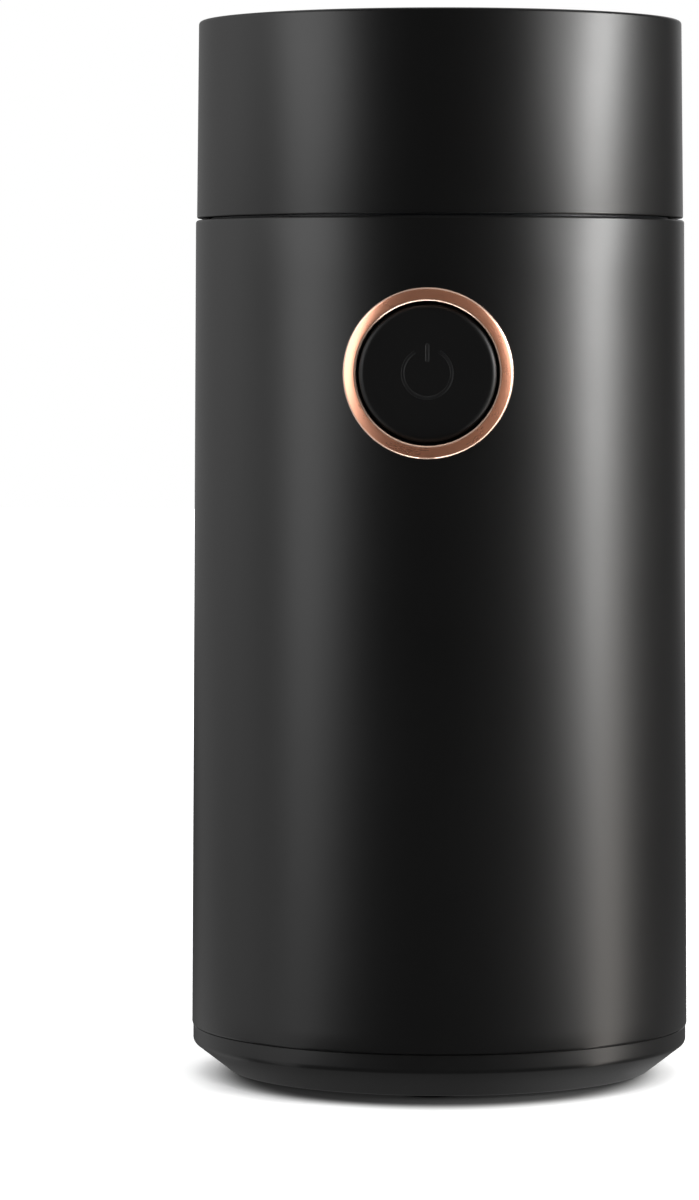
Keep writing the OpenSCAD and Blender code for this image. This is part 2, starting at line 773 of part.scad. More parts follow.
// Domed nut that clamps the blade.
module blade_nut() {
    nut_r = 5.4;
    skirt_h = 3;
    dome = 2.4;
    shoulder = 0.4;
    crown_r = nut_r * cos(30) - shoulder;
    color("#c3c6c9") translate([0, 0, blade_z + blade_t]) difference() {
        union() {
            intersection() {
                cylinder(h = skirt_h, r = nut_r, $fn = 6);
                cylinder(h = skirt_h, r = nut_r - seat_gap);
            }
            rotate_extrude()
                polygon(concat([[0, 0], [crown_r, 0]],
                    arc([crown_r - dome, skirt_h], dome, 0, 90, 6), [[0, skirt_h + dome]]));
        }
        translate([0, 0, -cut])
            cylinder(h = blade_nut_h - nut_roof + cut, r = shaft_r + press_gap);
    }
}

// ---- Motor ----

module motor_shaft() {
    chamfer = 0.5;
    color("#a7abaf") rotate_extrude()
        polygon([[0, shaft_z], [shaft_r - chamfer, shaft_z], [shaft_r, shaft_z + chamfer],
            [shaft_r, shaft_top_z - chamfer], [shaft_r - chamfer, shaft_top_z],
            [0, shaft_top_z]]);
}

// Slotted armature core.
module armature_core() {
    mouth_w = 1.8;
    color("#6c6f73") translate([0, 0, stator_z]) difference() {
        cylinder(h = stack_h, r = armature_r);
        translate([0, 0, -cut]) {
            cylinder(h = stack_h + 2 * cut, r = shaft_r + press_gap);
            for (i = [0:armature_slots - 1]) rotate(i * 360 / armature_slots) {
                translate([coil_slot_x, 0, 0]) cylinder(h = stack_h + 2 * cut, r = coil_slot_r);
                translate([coil_slot_x, -mouth_w / 2, 0])
                    cube([armature_r, mouth_w, stack_h + 2 * cut]);
            }
        }
    }
}

// Copper in the armature's slots, with the end turns above and below.
module armature_windings() {
    paper = 0.2; // slot lining round the copper
    in_r = shaft_r + 1.2;
    round = 3;
    bite = 0.5;
    color("#b5622f") {
        for (i = [0:armature_slots - 1]) rotate(i * 360 / armature_slots)
            translate([coil_slot_x, 0, stator_z - bite])
                cylinder(h = stack_h + 2 * bite, r = coil_slot_r - paper);
        rotate_extrude()
            polygon(concat([[in_r, stator_top_z], [winding_r, stator_top_z]],
                arc([winding_r - round, stator_top_z + winding_top - round], round, 0, 90, 5),
                [[in_r, stator_top_z + winding_top]]));
        rotate_extrude()
            polygon(concat([[in_r, stator_z], [in_r, stator_z - winding_low]],
                arc([winding_r - round, stator_z - winding_low + round], round, -90, 0, 5),
                [[winding_r, stator_z]]));
    }
}

// Commutator: copper bars parted by thin slots, with risers at the top.
module commutator() {
    bars = 24;
    bar_gap = 0.5;
    bar_depth = 1;
    riser_out = 1.2;
    riser_r = commutator_r + riser_out;
    top_z = commutator_z + commutator_h;
    color("#c07a45") difference() {
        union() {
            translate([0, 0, commutator_z]) cylinder(h = commutator_h, r = commutator_r);
            translate([0, 0, top_z - riser_h]) cylinder(h = riser_h, r = riser_r);
        }
        translate([0, 0, commutator_z - cut])
            cylinder(h = commutator_h + 2 * cut, r = shaft_r + press_gap);
        for (i = [0:bars - 1]) rotate(i * 360 / bars)
            translate([commutator_r - bar_depth, -bar_gap / 2, commutator_z - cut])
                cube([bar_depth + 2 * riser_out, bar_gap, commutator_h + 2 * cut]);
    }
}

// Radial fan: a plate with curved vanes below it.
module cooling_fan() {
    fan_r = fan_d / 2;
    plate_t = 1.4;
    vane_t = 1.2;
    hub_r = 6;
    vane_r0 = 9;
    bow = 17;
    lean = 3;
    color("#3b3f44") difference() {
        union() {
            translate([0, 0, fan_top_z - plate_t]) cylinder(h = plate_t, r = fan_r);
            translate([0, 0, fan_z]) cylinder(h = fan_h, r = hub_r);
            intersection() {
                translate([0, 0, fan_z]) washer(fan_r, vane_r0, fan_h - plate_t / 2);
                for (i = [0:fan_vanes - 1]) rotate(i * 360 / fan_vanes) intersection() {
                    translate([vane_r0 + lean, bow - vane_t, fan_z])
                        washer(bow + vane_t, bow, fan_h);
                    translate([0, -vane_r0, fan_z]) cube([fan_r, 2 * vane_r0, fan_h]);
                }
            }
        }
        translate([0, 0, fan_z - cut]) cylinder(h = fan_h + 2 * cut, r = shaft_r + press_gap);
    }
}

// Fibre washers on the shaft, inside each bearing.
module thrust_washers() {
    t = 0.8;
    r = bearing_hole_r - 0.4;
    up_z = plate_z + bearing_rest - seat_gap - t;
    low_z = lower_top_z - bearing_rest + seat_gap;
    color("#9c4b2c") for (z = [up_z, low_z]) translate([0, 0, z])
        washer(r, shaft_r + press_gap, t);
}

// Outline of the stator's laminations, with two poles across X.
module stator_outline() {
    out_corner = 9;
    in_corner = 4;
    shoe_t = 2;
    shoe_w = 24;
    shoe_start = 6;
    difference() {
        round_rect(stator_w, stator_d, out_corner);
        difference() {
            round_rect(2 * slot_x, 2 * slot_y, in_corner);
            for (s = [0, 180]) rotate(s) {
                translate([bore_r - shoe_t, -pole_w / 2])
                    square([slot_x - bore_r + 2 * shoe_t, pole_w]);
                intersection() {
                    circle(bore_r + shoe_t);
                    translate([shoe_start, -shoe_w / 2]) square([stator_w, shoe_w]);
                }
            }
        }
        circle(bore_r);
        for (s = [-1, 1]) translate([0, s * tie_y]) circle(tie_r + hole_gap);
    }
}

module stator_core() {
    color("#7c8084") translate([0, 0, stator_z]) linear_extrude(stack_h) stator_outline();
}

// Two field coils, each wound round one pole.
module field_coils() {
    coil_t = 3.6;
    lining = 0.4;
    in_w = pole_w + 2 * lining;
    in_h = stack_h + 2 * lining;
    yoke_gap = 3.2; // between a coil and the yoke
    side_w = slot_y - in_w / 2 - yoke_gap;
    end_w = 6.4;
    out_corner = 5;
    in_corner = 1;
    color("#a8552a") for (s = [0, 180]) rotate(s)
        translate([slot_x - coil_t - seat_gap, 0, (stator_z + stator_top_z) / 2])
            rotate([90, 0, 90]) linear_extrude(coil_t) difference() {
                round_rect(in_w + 2 * side_w, in_h + 2 * end_w, out_corner);
                round_rect(in_w, in_h, in_corner);
            }
}

// Half of a motor bracket's bent strip, seen along X: plate, leg and foot.
module bracket_strip(height) {
    bend = 1;
    foot_y = tie_y + 2.4;
    rotate([90, 0, 90]) translate([0, 0, -strip_w / 2]) linear_extrude(strip_w)
        for (s = [0, 1]) mirror([s, 0])
            polygon([[0, height], [leg_y - bend, height], [leg_y, height - bend],
                [leg_y, bracket_t], [foot_y, bracket_t], [foot_y, 0], [leg_y - leg_t, 0],
                [leg_y - leg_t, height - bracket_t], [0, height - bracket_t]]);
}

// Upper bracket: strip over the stator, two ears for the rubber mounts and a bearing boss.
module top_bracket() {
    ear_r = 5.2;
    color("#9da1a5") difference() {
        union() {
            translate([0, 0, stator_top_z]) bracket_strip(plate_top_z - stator_top_z);
            translate([0, 0, plate_z]) {
                for (x = [-1, 1]) translate([x * mount_x, 0, 0])
                    cylinder(h = bracket_t, r = ear_r);
                translate([-mount_x, -ear_r, 0]) cube([2 * mount_x, 2 * ear_r, bracket_t]);
                cylinder(h = bearing_boss_h, r = bearing_boss_r);
            }
        }
        translate([0, 0, plate_z - cut]) cylinder(h = bearing_boss_h, r = bearing_hole_r);
        translate([0, 0, plate_z + bearing_rest]) cylinder(h = bearing_boss_h, r = bearing_r);
        for (x = [-1, 1]) translate([x * mount_x, 0, plate_z - cut])
            cylinder(h = bracket_t + 2 * cut, r = screw_hole_r);
        for (y = [-1, 1]) translate([0, y * tie_y, stator_top_z - cut])
            cylinder(h = bracket_t + 2 * cut, r = tie_r + hole_gap);
    }
}

// Lower bracket: the same strip upside down, with windows for the brush holders.
module bottom_bracket() {
    color("#9da1a5") difference() {
        union() {
            translate([0, 0, stator_z]) mirror([0, 0, 1]) bracket_strip(stator_z - lower_z);
            translate([0, 0, lower_top_z - bearing_boss_h])
                cylinder(h = bearing_boss_h, r = bearing_boss_r);
        }
        translate([0, 0, lower_z - cut]) cylinder(h = bearing_boss_h, r = bearing_hole_r);
        translate([0, 0, lower_top_z - bearing_rest - bearing_boss_h])
            cylinder(h = bearing_boss_h, r = bearing_r);
        translate([0, 0, brush_z])
            cube([brush_w + 2 * brush_box_t + 2 * press_gap, stator_d,
                brush_h + 2 * brush_box_t + 2 * press_gap], center = true);
        for (y = [-1, 1]) translate([0, y * tie_y, stator_z - bracket_t - cut])
            cylinder(h = bracket_t + 2 * cut, r = tie_r + hole_gap);
    }
}

// Sintered bronze bearing with a rounded outside.
module bearing() {
    bulge = 0.35;
    difference() {
        intersection() {
            cylinder(h = bearing_h, r = bearing_r - press_gap);
            translate([0, 0, bearing_h / 2]) sphere(r = bearing_r + bulge);
        }
        translate([0, 0, -cut]) cylinder(h = bearing_h + 2 * cut, r = shaft_r + run_fit);
    }
}

module upper_bearing() {
    color("#a8763e") translate([0, 0, plate_z + bearing_rest]) bearing();
}

module lower_bearing() {
    color("#a8763e") translate([0, 0, lower_top_z - bearing_rest - bearing_h]) bearing();
}

// Sheet rings that hold the bearings in their bosses.
module bearing_clips() {
    t = 0.6;
    shaft_room = 1.2;
    color("#83878b")
        for (z = [plate_z + bearing_boss_h, lower_top_z - bearing_boss_h - t])
            translate([0, 0, z]) washer(bearing_boss_r, shaft_r + shaft_room, t);
}

// Two long screws through both brackets and the stator.
module tie_screws() {
    grip = stack_h + 2 * bracket_t;
    tail = 5;
    color("#8b8f93") for (y = [-1, 1])
        translate([0, y * tie_y, stator_top_z + bracket_t]) mirror([0, 0, 1])
            screw(grip + tail, r = tie_r, head_r = 2.3, head_h = 2);
}

module tie_nuts() {
    h = 2.4;
    nut_r = 2.9;
    color("#8b8f93") for (y = [-1, 1])
        translate([0, y * tie_y, stator_z - bracket_t - h]) difference() {
            cylinder(h = h, r = nut_r, $fn = 6);
            translate([0, 0, -cut]) cylinder(h = h + 2 * cut, r = tie_r + press_gap);
        }
}

// Places what is drawn along +X at both brushes, with x = 0 on the commutator's axis.
module at_brushes() {
    for (a = [90, 270]) rotate(a) translate([0, 0, brush_z]) children();
}

module brush_holders() {
    t = brush_box_t;
    collar = 2.2;
    collar_t = 1;
    color("#b58a3c") at_brushes() difference() {
        union() {
            translate([brush_box_r, -brush_w / 2 - t, -brush_h / 2 - t])
                cube([brush_box_l, brush_w + 2 * t, brush_h + 2 * t]);
            translate([leg_y + press_gap, -brush_w / 2 - collar, -brush_h / 2 - collar])
                cube([collar_t, brush_w + 2 * collar, brush_h + 2 * collar]);
        }
        translate([brush_box_r - cut, -brush_w / 2, -brush_h / 2])
            cube([brush_box_l - t + cut, brush_w, brush_h]);
    }
}

module carbon_brushes() {
    face_r = commutator_r + brush_gap;
    hollow = 1;
    fit = 0.1;
    color("#3d3d3f") at_brushes() difference() {
        translate([face_r - hollow, -brush_w / 2 + fit, -brush_h / 2 + fit])
            cube([brush_l + hollow, brush_w - 2 * fit, brush_h - 2 * fit]);
        translate([0, 0, -brush_h]) cylinder(h = 2 * brush_h, r = face_r);
    }
}

module brush_springs() {
    x0 = commutator_r + brush_gap + brush_l;
    x1 = brush_box_r + brush_box_l - brush_box_t;
    color("#9b9fa3") at_brushes() translate([x0, 0, 0]) rotate([0, 90, 0])
        coil_spring(r = 2.2, wire_r = 0.25, length = x1 - x0, turns = 5, steps = 12);
}

// Rubber bushes between the frame and the motor.
module motor_mounts() {
    r = 5;
    waist = 0.8;
    color("#303234") for (x = [-1, 1]) translate([x * mount_x, 0, plate_top_z]) difference() {
        rotate_extrude()
            polygon([[0, 0], [r, 0], [r, waist], [r - waist, mount_h / 2], [r, mount_h - waist],
                [r, mount_h], [0, mount_h]]);
        translate([0, 0, -cut]) cylinder(h = mount_h + 2 * cut, r = screw_hole_r);
    }
}

module motor_screws() {
    hold = 8;
    color("#8b8f93") for (x = [-1, 1]) translate([x * mount_x, 0, plate_z])
        screw(bracket_t + mount_h + hold, r = screw_core_r - press_gap);
}

// ---- Button ----

// A point of the ring: rho and theta go round the button, lift stands out of the body.
function saddle(rho, theta, lift) =
    let (x = rho * cos(theta), z = button_z + rho * sin(theta), r = body_r(z) + lift)
    [x, -sqrt(r * r - x * x), z];

// A point at the back end of the ring's tube.
function tube_end(rho, theta) = [rho * cos(theta), -ring_back, button_z + rho * sin(theta)];

// Metal ring: a bevelled face wrapped on the round body, and a tube behind it that passes
// through the wall.
module button_ring() {
    steps = 72;
    r1 = ring_d / 2;
    r0 = ring_bore_d / 2;
    b = ring_bevel;
    crest = ring_proud - b;
    face = concat([[r1, press_gap], [r1, crest]], arc([r1 - b, crest], b, 25, 90, 2),
        arc([r0 + b, crest], b, 90, 155, 2), [[r0, crest]]);
    n = len(face) + 3;
    points = [for (i = [0:steps - 1]) let (a = 360 * i / steps) each concat(
        [for (p = face) saddle(p[0], a, p[1])],
        [tube_end(r0, a), tube_end(ring_tube_r, a), saddle(ring_tube_r, a, press_gap)])];
    faces = [for (i = [0:steps - 1], j = [0:n - 1])
        [i * n + j, i * n + (j + 1) % n, ((i + 1) % steps) * n + (j + 1) % n,
            ((i + 1) % steps) * n + j]];
    color("#c98f77") polyhedron(points, faces, convexity = 6);
}

// Round cap with a flat face, a guide flange at its back and a stem for the switch.
module button_cap() {
    r = cap_d / 2;
    in_r = r - cap_wall;
    length = cap_face - cap_back;
    dome = 0.12;
    color("#1d1d1e") difference() {
        union() {
            at_button() translate([0, 0, cap_back]) rotate_extrude()
                polygon(concat([[0, 0], [cap_flange_r, 0], [cap_flange_r, cap_flange_t],
                    [r, cap_flange_t]],
                    arc([r - cap_edge, length - dome - cap_edge], cap_edge, 0, 90, 6),
                    [[0, length]]));
            at_button(main_switch_z) translate([0, 0, main_plunger + touch_gap])
                cylinder(h = cap_back - main_plunger, r = stem_r);
        }
        // hollow behind the face, and the seat of the spring
        at_button() translate([0, 0, cap_back - cut])
            cylinder(h = length - cap_plate_t + cut, r = in_r);
    }
}

// Cup behind the wall that guides the cap and clips on the ring's tube.
module button_housing() {
    out_r = ring_tube_r + press_gap + housing_wall;
    tube_step = 0.15;
    color("#2a2c2f") difference() {
        intersection() {
            at_button() translate([0, 0, housing_back]) cylinder(h = face_r, r = out_r);
            cylinder(h = total_h, r1 = body_r(0) - wall - touch_gap,
                r2 = body_r(total_h) - wall - touch_gap);
        }
        at_button() {
            translate([0, 0, ring_back - tube_step]) cylinder(h = face_r,
                r = ring_tube_r + press_gap);
            difference() {
                translate([0, 0, housing_front]) cylinder(h = face_r, r = guide_r);
                cylinder(h = housing_front + spring_pin_h, r = spring_pin_r);
            }
        }
        at_button(main_switch_z) cylinder(h = face_r, r = stem_r + stem_gap);
    }
}

module button_spring() {
    color("#9b9fa3") at_button() translate([0, 0, housing_front])
        coil_spring(r = 4.1, wire_r = 0.25, length = cap_face - cap_plate_t - housing_front,
            turns = 3.5, steps = 16);
}

// A micro switch with its plunger's hole at the top (+Z), centred on the plunger's axis.
module micro_switch(hole_depth) {
    corner = 0.6;
    terminal_w = 2.4;
    terminal_t = 0.6;
    bite = 0.5;
    difference() {
        union() {
            translate([0, 0, -switch_d / 2]) rotate([90, 0, 0]) translate([0, 0, -switch_t / 2])
                linear_extrude(switch_t) round_rect(switch_l, switch_d, corner);
            for (x = [-terminal_x, 0, terminal_x])
                translate([x - terminal_w / 2, -terminal_t / 2, -switch_d - terminal_l])
                    cube([terminal_w, terminal_t, terminal_l + bite]);
        }
        translate([0, 0, -hole_depth]) cylinder(h = hole_depth + cut, r = plunger_r + run_fit);
        for (x = [-1, 1]) translate([x * switch_peg_x, 0, -switch_d / 2]) rotate([90, 0, 0])
            cylinder(h = 2 * switch_t, r = switch_peg_r + hole_gap, center = true);
    }
}

module main_switch() {
    color("#26282a") at_button(main_switch_z) translate([0, 0, main_face])
        micro_switch(plunger_tail + button_travel + hole_gap);
}

module main_switch_plunger() {
    color("#b9432f") at_button(main_switch_z) translate([0, 0, main_face - plunger_tail])
        cylinder(h = main_plunger - main_face + plunger_tail, r = plunger_r);
}

// ---- Interlock ----

module interlock_rod() {
    foot_w = 4;
    foot_y = interlock_y - plunger_r - touch_gap;
    color("#c9c3b4") {
        translate([0, rod_y, rod_foot_z]) cylinder(h = rod_top - rod_foot_z, d = rod_d);
        translate([-foot_w / 2, foot_y, rod_foot_z])
            cube([foot_w, rod_y + rod_d / 2 - foot_y, rod_foot_h]);
        translate([0, rod_y, collar_z]) cylinder(h = collar_h, r = collar_r);
    }
}

module interlock_spring() {
    low = lug_z + lug_h;
    color("#9b9fa3") translate([0, rod_y, low])
        coil_spring(r = 1.75, wire_r = 0.2, length = collar_z - low, turns = 6, steps = 12);
}

module interlock_switch() {
    color("#26282a") translate([0, interlock_y, interlock_top])
        micro_switch(plunger_tail + rod_travel + hole_gap);
}

module interlock_switch_plunger() {
    tail = rod_travel + plunger_tail;
    color("#b9432f") translate([0, interlock_y, interlock_top - tail])
        cylinder(h = tail + interlock_plunger, r = plunger_r);
}

// ---- Wiring ----

// Capacitor across the supply, in its tray, with two legs at the top.
module suppression_capacitor() {
    leg_h = 4;
    leg_r = 0.5;
    leg_x = 5;
    corner = 1;
    color("#c9a62e") translate([0, post_y, tray_z + tray_t]) {
        translate([0, 0, capacitor[2] / 2]) rotate([90, 0, 0])
            translate([0, 0, -capacitor[1] / 2]) linear_extrude(capacitor[1])
                round_rect(capacitor[0], capacitor[2], corner);
        for (x = [-1, 1]) translate([x * leg_x, 0, capacitor[2] - leg_r])
            cylinder(h = leg_h + leg_r, r = leg_r);
    }
}

// Lead from the gland to the main switch.
module live_lead() {
    top = plate_z;
    mid = brush_z;
    color("#6b3f2a")
        lead([[1.25, gland_end, gland_z], [1.6, gland_end - 2.4, gland_z + 0.8],
            [3.5, gland_end - 4, gland_z + 4.5], [9.5, gland_end - 1.5, mid - 17],
            [19, 34.5, mid - 8], [28, 27, mid + 2],
            [35, 14, mid + 16], [37, 0, mid + 32], [34, -13, top - 4], [26, -20, top + 5],
            [17, -18.5, top + 10.5], [10, -16.5, top + 13.5],
            [terminal_x, main_end + 2.8, main_switch_z], [terminal_x, main_end, main_switch_z]],
            side = [1, 1, 0.5]);
}

// Lead from the gland to the front brush.
module neutral_lead() {
    mid = brush_z;
    color("#2f4d7d")
        lead([[-1.25, gland_end, gland_z], [-1.6, gland_end - 2.4, gland_z + 0.8],
            [-3.5, gland_end - 4, gland_z + 4.5], [-9.5, gland_end - 1.5, mid - 17],
            [-19, 34.5, mid - 8], [-28, 25, mid - 4],
            [-32, 8, mid - 3], [-30, -8, mid - 2], [-22, -19, mid], [-12, -25, mid],
            [-5, -28.5, mid], [0, -brush_end, mid]],
            side = [0.5, 0.5, 1]);
}

// Link from the main switch to the safety switch.
module switch_lead() {
    top = plate_z;
    color("#6b3f2a")
        lead([[-terminal_x, main_end, main_switch_z],
            [-terminal_x, main_end + 2.8, main_switch_z],
            [-9, -15.5, top + 13.5], [-16, -15, top + 9], [-25, -11, top + 7],
            [-31, 0, top + 6], [-31, 13, top + 4], [-28, 25, top + 1.5],
            [-21, 33.5, top - 1], [-12.5, 35.5, top - 1],
            [-terminal_x - 0.5, interlock_y, top + 1.5], [-terminal_x, interlock_y, safe_end]],
            side = [1, -0.5, -1]);
}

// Lead from the safety switch to the rear brush.
module motor_lead() {
    top = plate_z;
    mid = brush_z;
    color("#6b3f2a")
        lead([[terminal_x, interlock_y, safe_end], [terminal_x, interlock_y, safe_end - 4],
            [9, 37, top - 10], [10, 37.5, mid + 30], [8, 37, mid + 14], [3, 34, mid + 5],
            [0.5, brush_end + 1.5, mid + 1.5], [0, brush_end, mid]],
            side = [1, -0.5, 0]);
}

// ---- Base ----

// Closed base with a chamfer, a spigot inside the body, screw bosses, foot recesses and
// air slots.
module base_cover() {
    spigot_gap = 0.15;
    spigot_r = body_r(body_z) - wall - spigot_gap;
    spigot_t = 1.8;
    floor_top = base_z + base_t;
    slot_rows = floor(vent_r / slot_pitch);
    boss_r = 5.4;
    slope = atan(chamfer_h / chamfer_w);
    f = band_fillet;
    c = [band_r - f, band_z + f * tan((90 - slope) / 2)];
    color("#1f1f20") difference() {
        union() {
            rotate_extrude()
                polygon(concat([[0, base_z], [base_r, base_z]], arc(c, f, slope - 90, 0, 5),
                    [[band_r, body_z], [spigot_r, body_z], [spigot_r, post_z],
                        [spigot_r - spigot_t, post_z], [spigot_r - spigot_t, band_z + base_t],
                        [base_r - base_t * tan(slope / 2), floor_top], [0, floor_top]]));
            for (a = post_angles) rotate(a) translate([post_ring_r, 0, base_z + base_t / 2])
                cylinder(h = post_z - base_z - base_t / 2, r = boss_r);
        }
        for (a = post_angles) rotate(a) translate([post_ring_r, 0, 0]) {
            translate([0, 0, -cut]) cylinder(h = post_z + 2 * cut, r = screw_hole_r);
            cylinder(h = base_z + base_recess_h, r = base_recess_r);
        }
        for (a = [0:90:270]) rotate(a) translate([feet_ring_r, 0, 0])
            cylinder(h = base_z + foot_seat_h, d = foot_d + 2 * hole_gap);
        for (i = [-slot_rows:slot_rows]) let (half = sqrt(pow(vent_r, 2) - pow(i * slot_pitch, 2)))
            if (half > slot_w) translate([i * slot_pitch, 0, 0]) {
                translate([-slot_w / 2, -half, -cut]) cube([slot_w, 2 * half, floor_top + 2 * cut]);
                for (s = [-1, 1]) translate([0, s * half, -cut])
                    cylinder(h = floor_top + 2 * cut, d = slot_w);
            }
    }
}

module base_screws() {
    length = 18;
    color("#8b8f93") for (a = post_angles) rotate(a)
        translate([post_ring_r, 0, base_z + base_recess_h])
            screw(length, r = screw_core_r - press_gap);
}

module feet() {
    round = 0.5;
    foot_h = foot_proud + foot_seat_h;
    r = foot_d / 2;
    color("#2b2b2d") for (a = [0:90:270]) rotate(a) translate([feet_ring_r, 0, 0])
        rotate_extrude()
            polygon(concat([[0, 0]], arc([r - round, round], round, -90, 0, 4),
                [[r, foot_h], [0, foot_h]]));
}

// Grommet for the mains cord, flush with the back of the body.
module cord_gland() {
    shell_gap = 0.05;
    inner = body_r(gland_z) - wall - shell_gap;
    flange_bow = 0.6; // how much farther in the flange starts, for the round of the wall
    recess = 0.1;
    color("#242526") difference() {
        union() {
            intersection() {
                translate([0, inner - gland_flange_t - flange_bow, gland_z]) rotate([-90, 0, 0])
                    cylinder(h = body_r0, r = gland_flange_r);
                cylinder(h = 2 * gland_z, r = inner);
            }
            intersection() {
                translate([0, inner - gland_flange_t - gland_tail, gland_z]) rotate([-90, 0, 0])
                    cylinder(h = body_r0, r = gland_hole_r - press_gap);
                cylinder(h = 2 * gland_z, r = body_r(gland_z) - recess);
            }
        }
        translate([0, 0, gland_z]) rotate([-90, 0, 0]) cylinder(h = body_d, r = gland_bore_r);
    }
}

lid_shell();
lid_liner();
lid_seal();
body_shell();
inner_frame();
grinding_bowl();
bowl_gasket();
bowl_bush();
bush_nut();
shaft_seal();
blade();
blade_spacer();
blade_nut();
motor_shaft();
armature_core();
armature_windings();
commutator();
cooling_fan();
thrust_washers();
stator_core();
field_coils();
top_bracket();
bottom_bracket();
upper_bearing();
lower_bearing();
bearing_clips();
tie_screws();
tie_nuts();
brush_holders();
carbon_brushes();
brush_springs();
motor_mounts();
motor_screws();
button_ring();
button_cap();
button_housing();
button_spring();
main_switch();
main_switch_plunger();
interlock_rod();
interlock_spring();
interlock_switch();
interlock_switch_plunger();
suppression_capacitor();
live_lead();
neutral_lead();
switch_lead();
motor_lead();
base_cover();
base_screws();
feet();
cord_gland();
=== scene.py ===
# %% [markdown]
# # An electric spice grinder, dressed
#
# The grinder is a black upright cylinder 190 mm high: a lid, a body with one round push
# button in a rose-gold ring, and a base on four rubber feet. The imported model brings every
# piece at its true size and place. This lesson models the pieces that show again, with
# finer rounds and edges, and gives each a finish made from nodes. Lengths in lists
# are millimetres.

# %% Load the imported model
import contextlib
import json
import math

import bmesh
import bpy
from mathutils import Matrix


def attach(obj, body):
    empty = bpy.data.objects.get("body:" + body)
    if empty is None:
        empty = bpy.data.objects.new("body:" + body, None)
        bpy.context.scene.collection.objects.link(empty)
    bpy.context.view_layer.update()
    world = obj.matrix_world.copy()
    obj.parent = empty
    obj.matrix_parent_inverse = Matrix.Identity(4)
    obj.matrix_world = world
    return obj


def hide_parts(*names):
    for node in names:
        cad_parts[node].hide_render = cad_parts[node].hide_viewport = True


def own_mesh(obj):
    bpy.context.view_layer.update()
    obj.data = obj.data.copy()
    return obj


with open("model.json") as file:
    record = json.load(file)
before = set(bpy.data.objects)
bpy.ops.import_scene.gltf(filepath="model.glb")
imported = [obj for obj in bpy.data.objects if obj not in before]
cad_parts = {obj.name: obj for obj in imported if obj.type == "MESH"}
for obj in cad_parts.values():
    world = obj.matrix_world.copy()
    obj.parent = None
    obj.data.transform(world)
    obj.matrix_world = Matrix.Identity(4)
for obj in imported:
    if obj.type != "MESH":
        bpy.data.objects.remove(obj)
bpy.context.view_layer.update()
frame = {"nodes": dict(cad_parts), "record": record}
nodes = frame["nodes"]
MM = 0.001


def link(thing):
    """Puts a new object in the scene."""
    bpy.context.collection.objects.link(thing)


print("nodes in the packed model:", len(nodes))

# %% [markdown]
# ## Camera
#
# The view is almost level, from 0.94 m with a long lens, which keeps the sides of the
# cylinder nearly parallel. The camera is higher than the base and lower than the lid, so
# the lid's edge bows upwards and the base downwards. It stands a touch to the right, which
# puts the button left of the body's middle, and is turned a touch to the left, which puts
# the grinder right of the middle of the picture.

# %% Camera
CAMERA_DISTANCE = 0.94
CAMERA_HEIGHT = 0.1339
CAMERA_AZIMUTH = math.radians(2.77)
CAMERA_PITCH = math.radians(-2.945)
CAMERA_PAN = math.radians(0.9965)
lens = bpy.data.cameras.new("camera")
lens.lens, lens.sensor_width = 155.5, 36
camera = bpy.data.objects.new("camera", lens)
camera.location = (
    CAMERA_DISTANCE * math.sin(CAMERA_AZIMUTH),
    -CAMERA_DISTANCE * math.cos(CAMERA_AZIMUTH),
    CAMERA_HEIGHT,
)
camera.rotation_euler = (math.pi / 2 + CAMERA_PITCH, 0, CAMERA_AZIMUTH + CAMERA_PAN)
link(camera)
bpy.context.scene.camera = camera
print("camera at", [round(v, 3) for v in camera.location])

# %% [markdown]
# ## Shader maths
#
# `Wire` holds one socket of a material and adds, subtracts and multiplies like a number, so
# `1 - mask` makes a Math node. Its `node` method adds any other node: the type, the
# settings, which go in first, and the values or wires for its sockets. A Mix node has
# sockets for every kind of value, and those of its two colours are 6 and 7.

# %% A wire that does sums
class Wire:
    """One output socket of a material, which can be used in sums."""

    def __init__(self, tree, socket=None):
        self.tree, self.socket = tree, socket

    def node(self, kind, settings=None, values=None, out=0):
        """Adds a node with its settings and the values or wires of its sockets."""
        made = self.tree.nodes.new("ShaderNode" + kind)
        for name, setting in (settings or {}).items():
            setattr(made, name, setting)
        for name, value in (values or {}).items():
            if isinstance(value, Wire):
                self.tree.links.new(value.socket, made.inputs[name])
            else:
                made.inputs[name].default_value = value
        return Wire(self.tree, made.outputs[out])

    def maths(self, operation, *values):
        return self.node("Math", {"operation": operation}, dict(enumerate(values)))

    def __add__(self, other):
        return self.maths("ADD", self, other)

    def __mul__(self, other):
        return self.maths("MULTIPLY", self, other)

    def __sub__(self, other):
        return self.maths("SUBTRACT", self, other)

    def __rsub__(self, other):
        return self.maths("SUBTRACT", other, self)

    def __pow__(self, other):
        return self.maths("POWER", self, other)

    def __abs__(self):
        return self.maths("ABSOLUTE", self)

    __radd__, __rmul__ = __add__, __mul__


def blend(mask, first, second):
    """A colour that goes from first to second as the mask goes from 0 to 1."""
    return mask.node("Mix", {"data_type": "RGBA"}, {0: mask, 6: first, 7: second}, out=2)


def step(value, low, high):
    """0 below low, 1 above high and a soft step between."""
    return value.node(
        "MapRange", {"interpolation_type": "SMOOTHSTEP"}, {0: value, 1: low, 2: high}
    )


def flat_length(x, y):
    """The length of a flat arrow."""
    return (x * x + y * y) ** 0.5


def flat_angle(y, x):
    """The angle of a flat arrow in degrees, from the x direction towards y."""
    return y.maths("ARCTAN2", y, x) * (180 / math.pi)


print("shader sums ready")

# %% [markdown]
# ## Patterns
#
# Every pattern reads Object coordinates, in metres, so a grain of 0.3 mm is 0.3 mm on each
# piece. `lumps` is plain noise of a given size. `turned_marks` is noise along the radius and
# the height, drawn out round the axis into the rings that a lathe leaves.

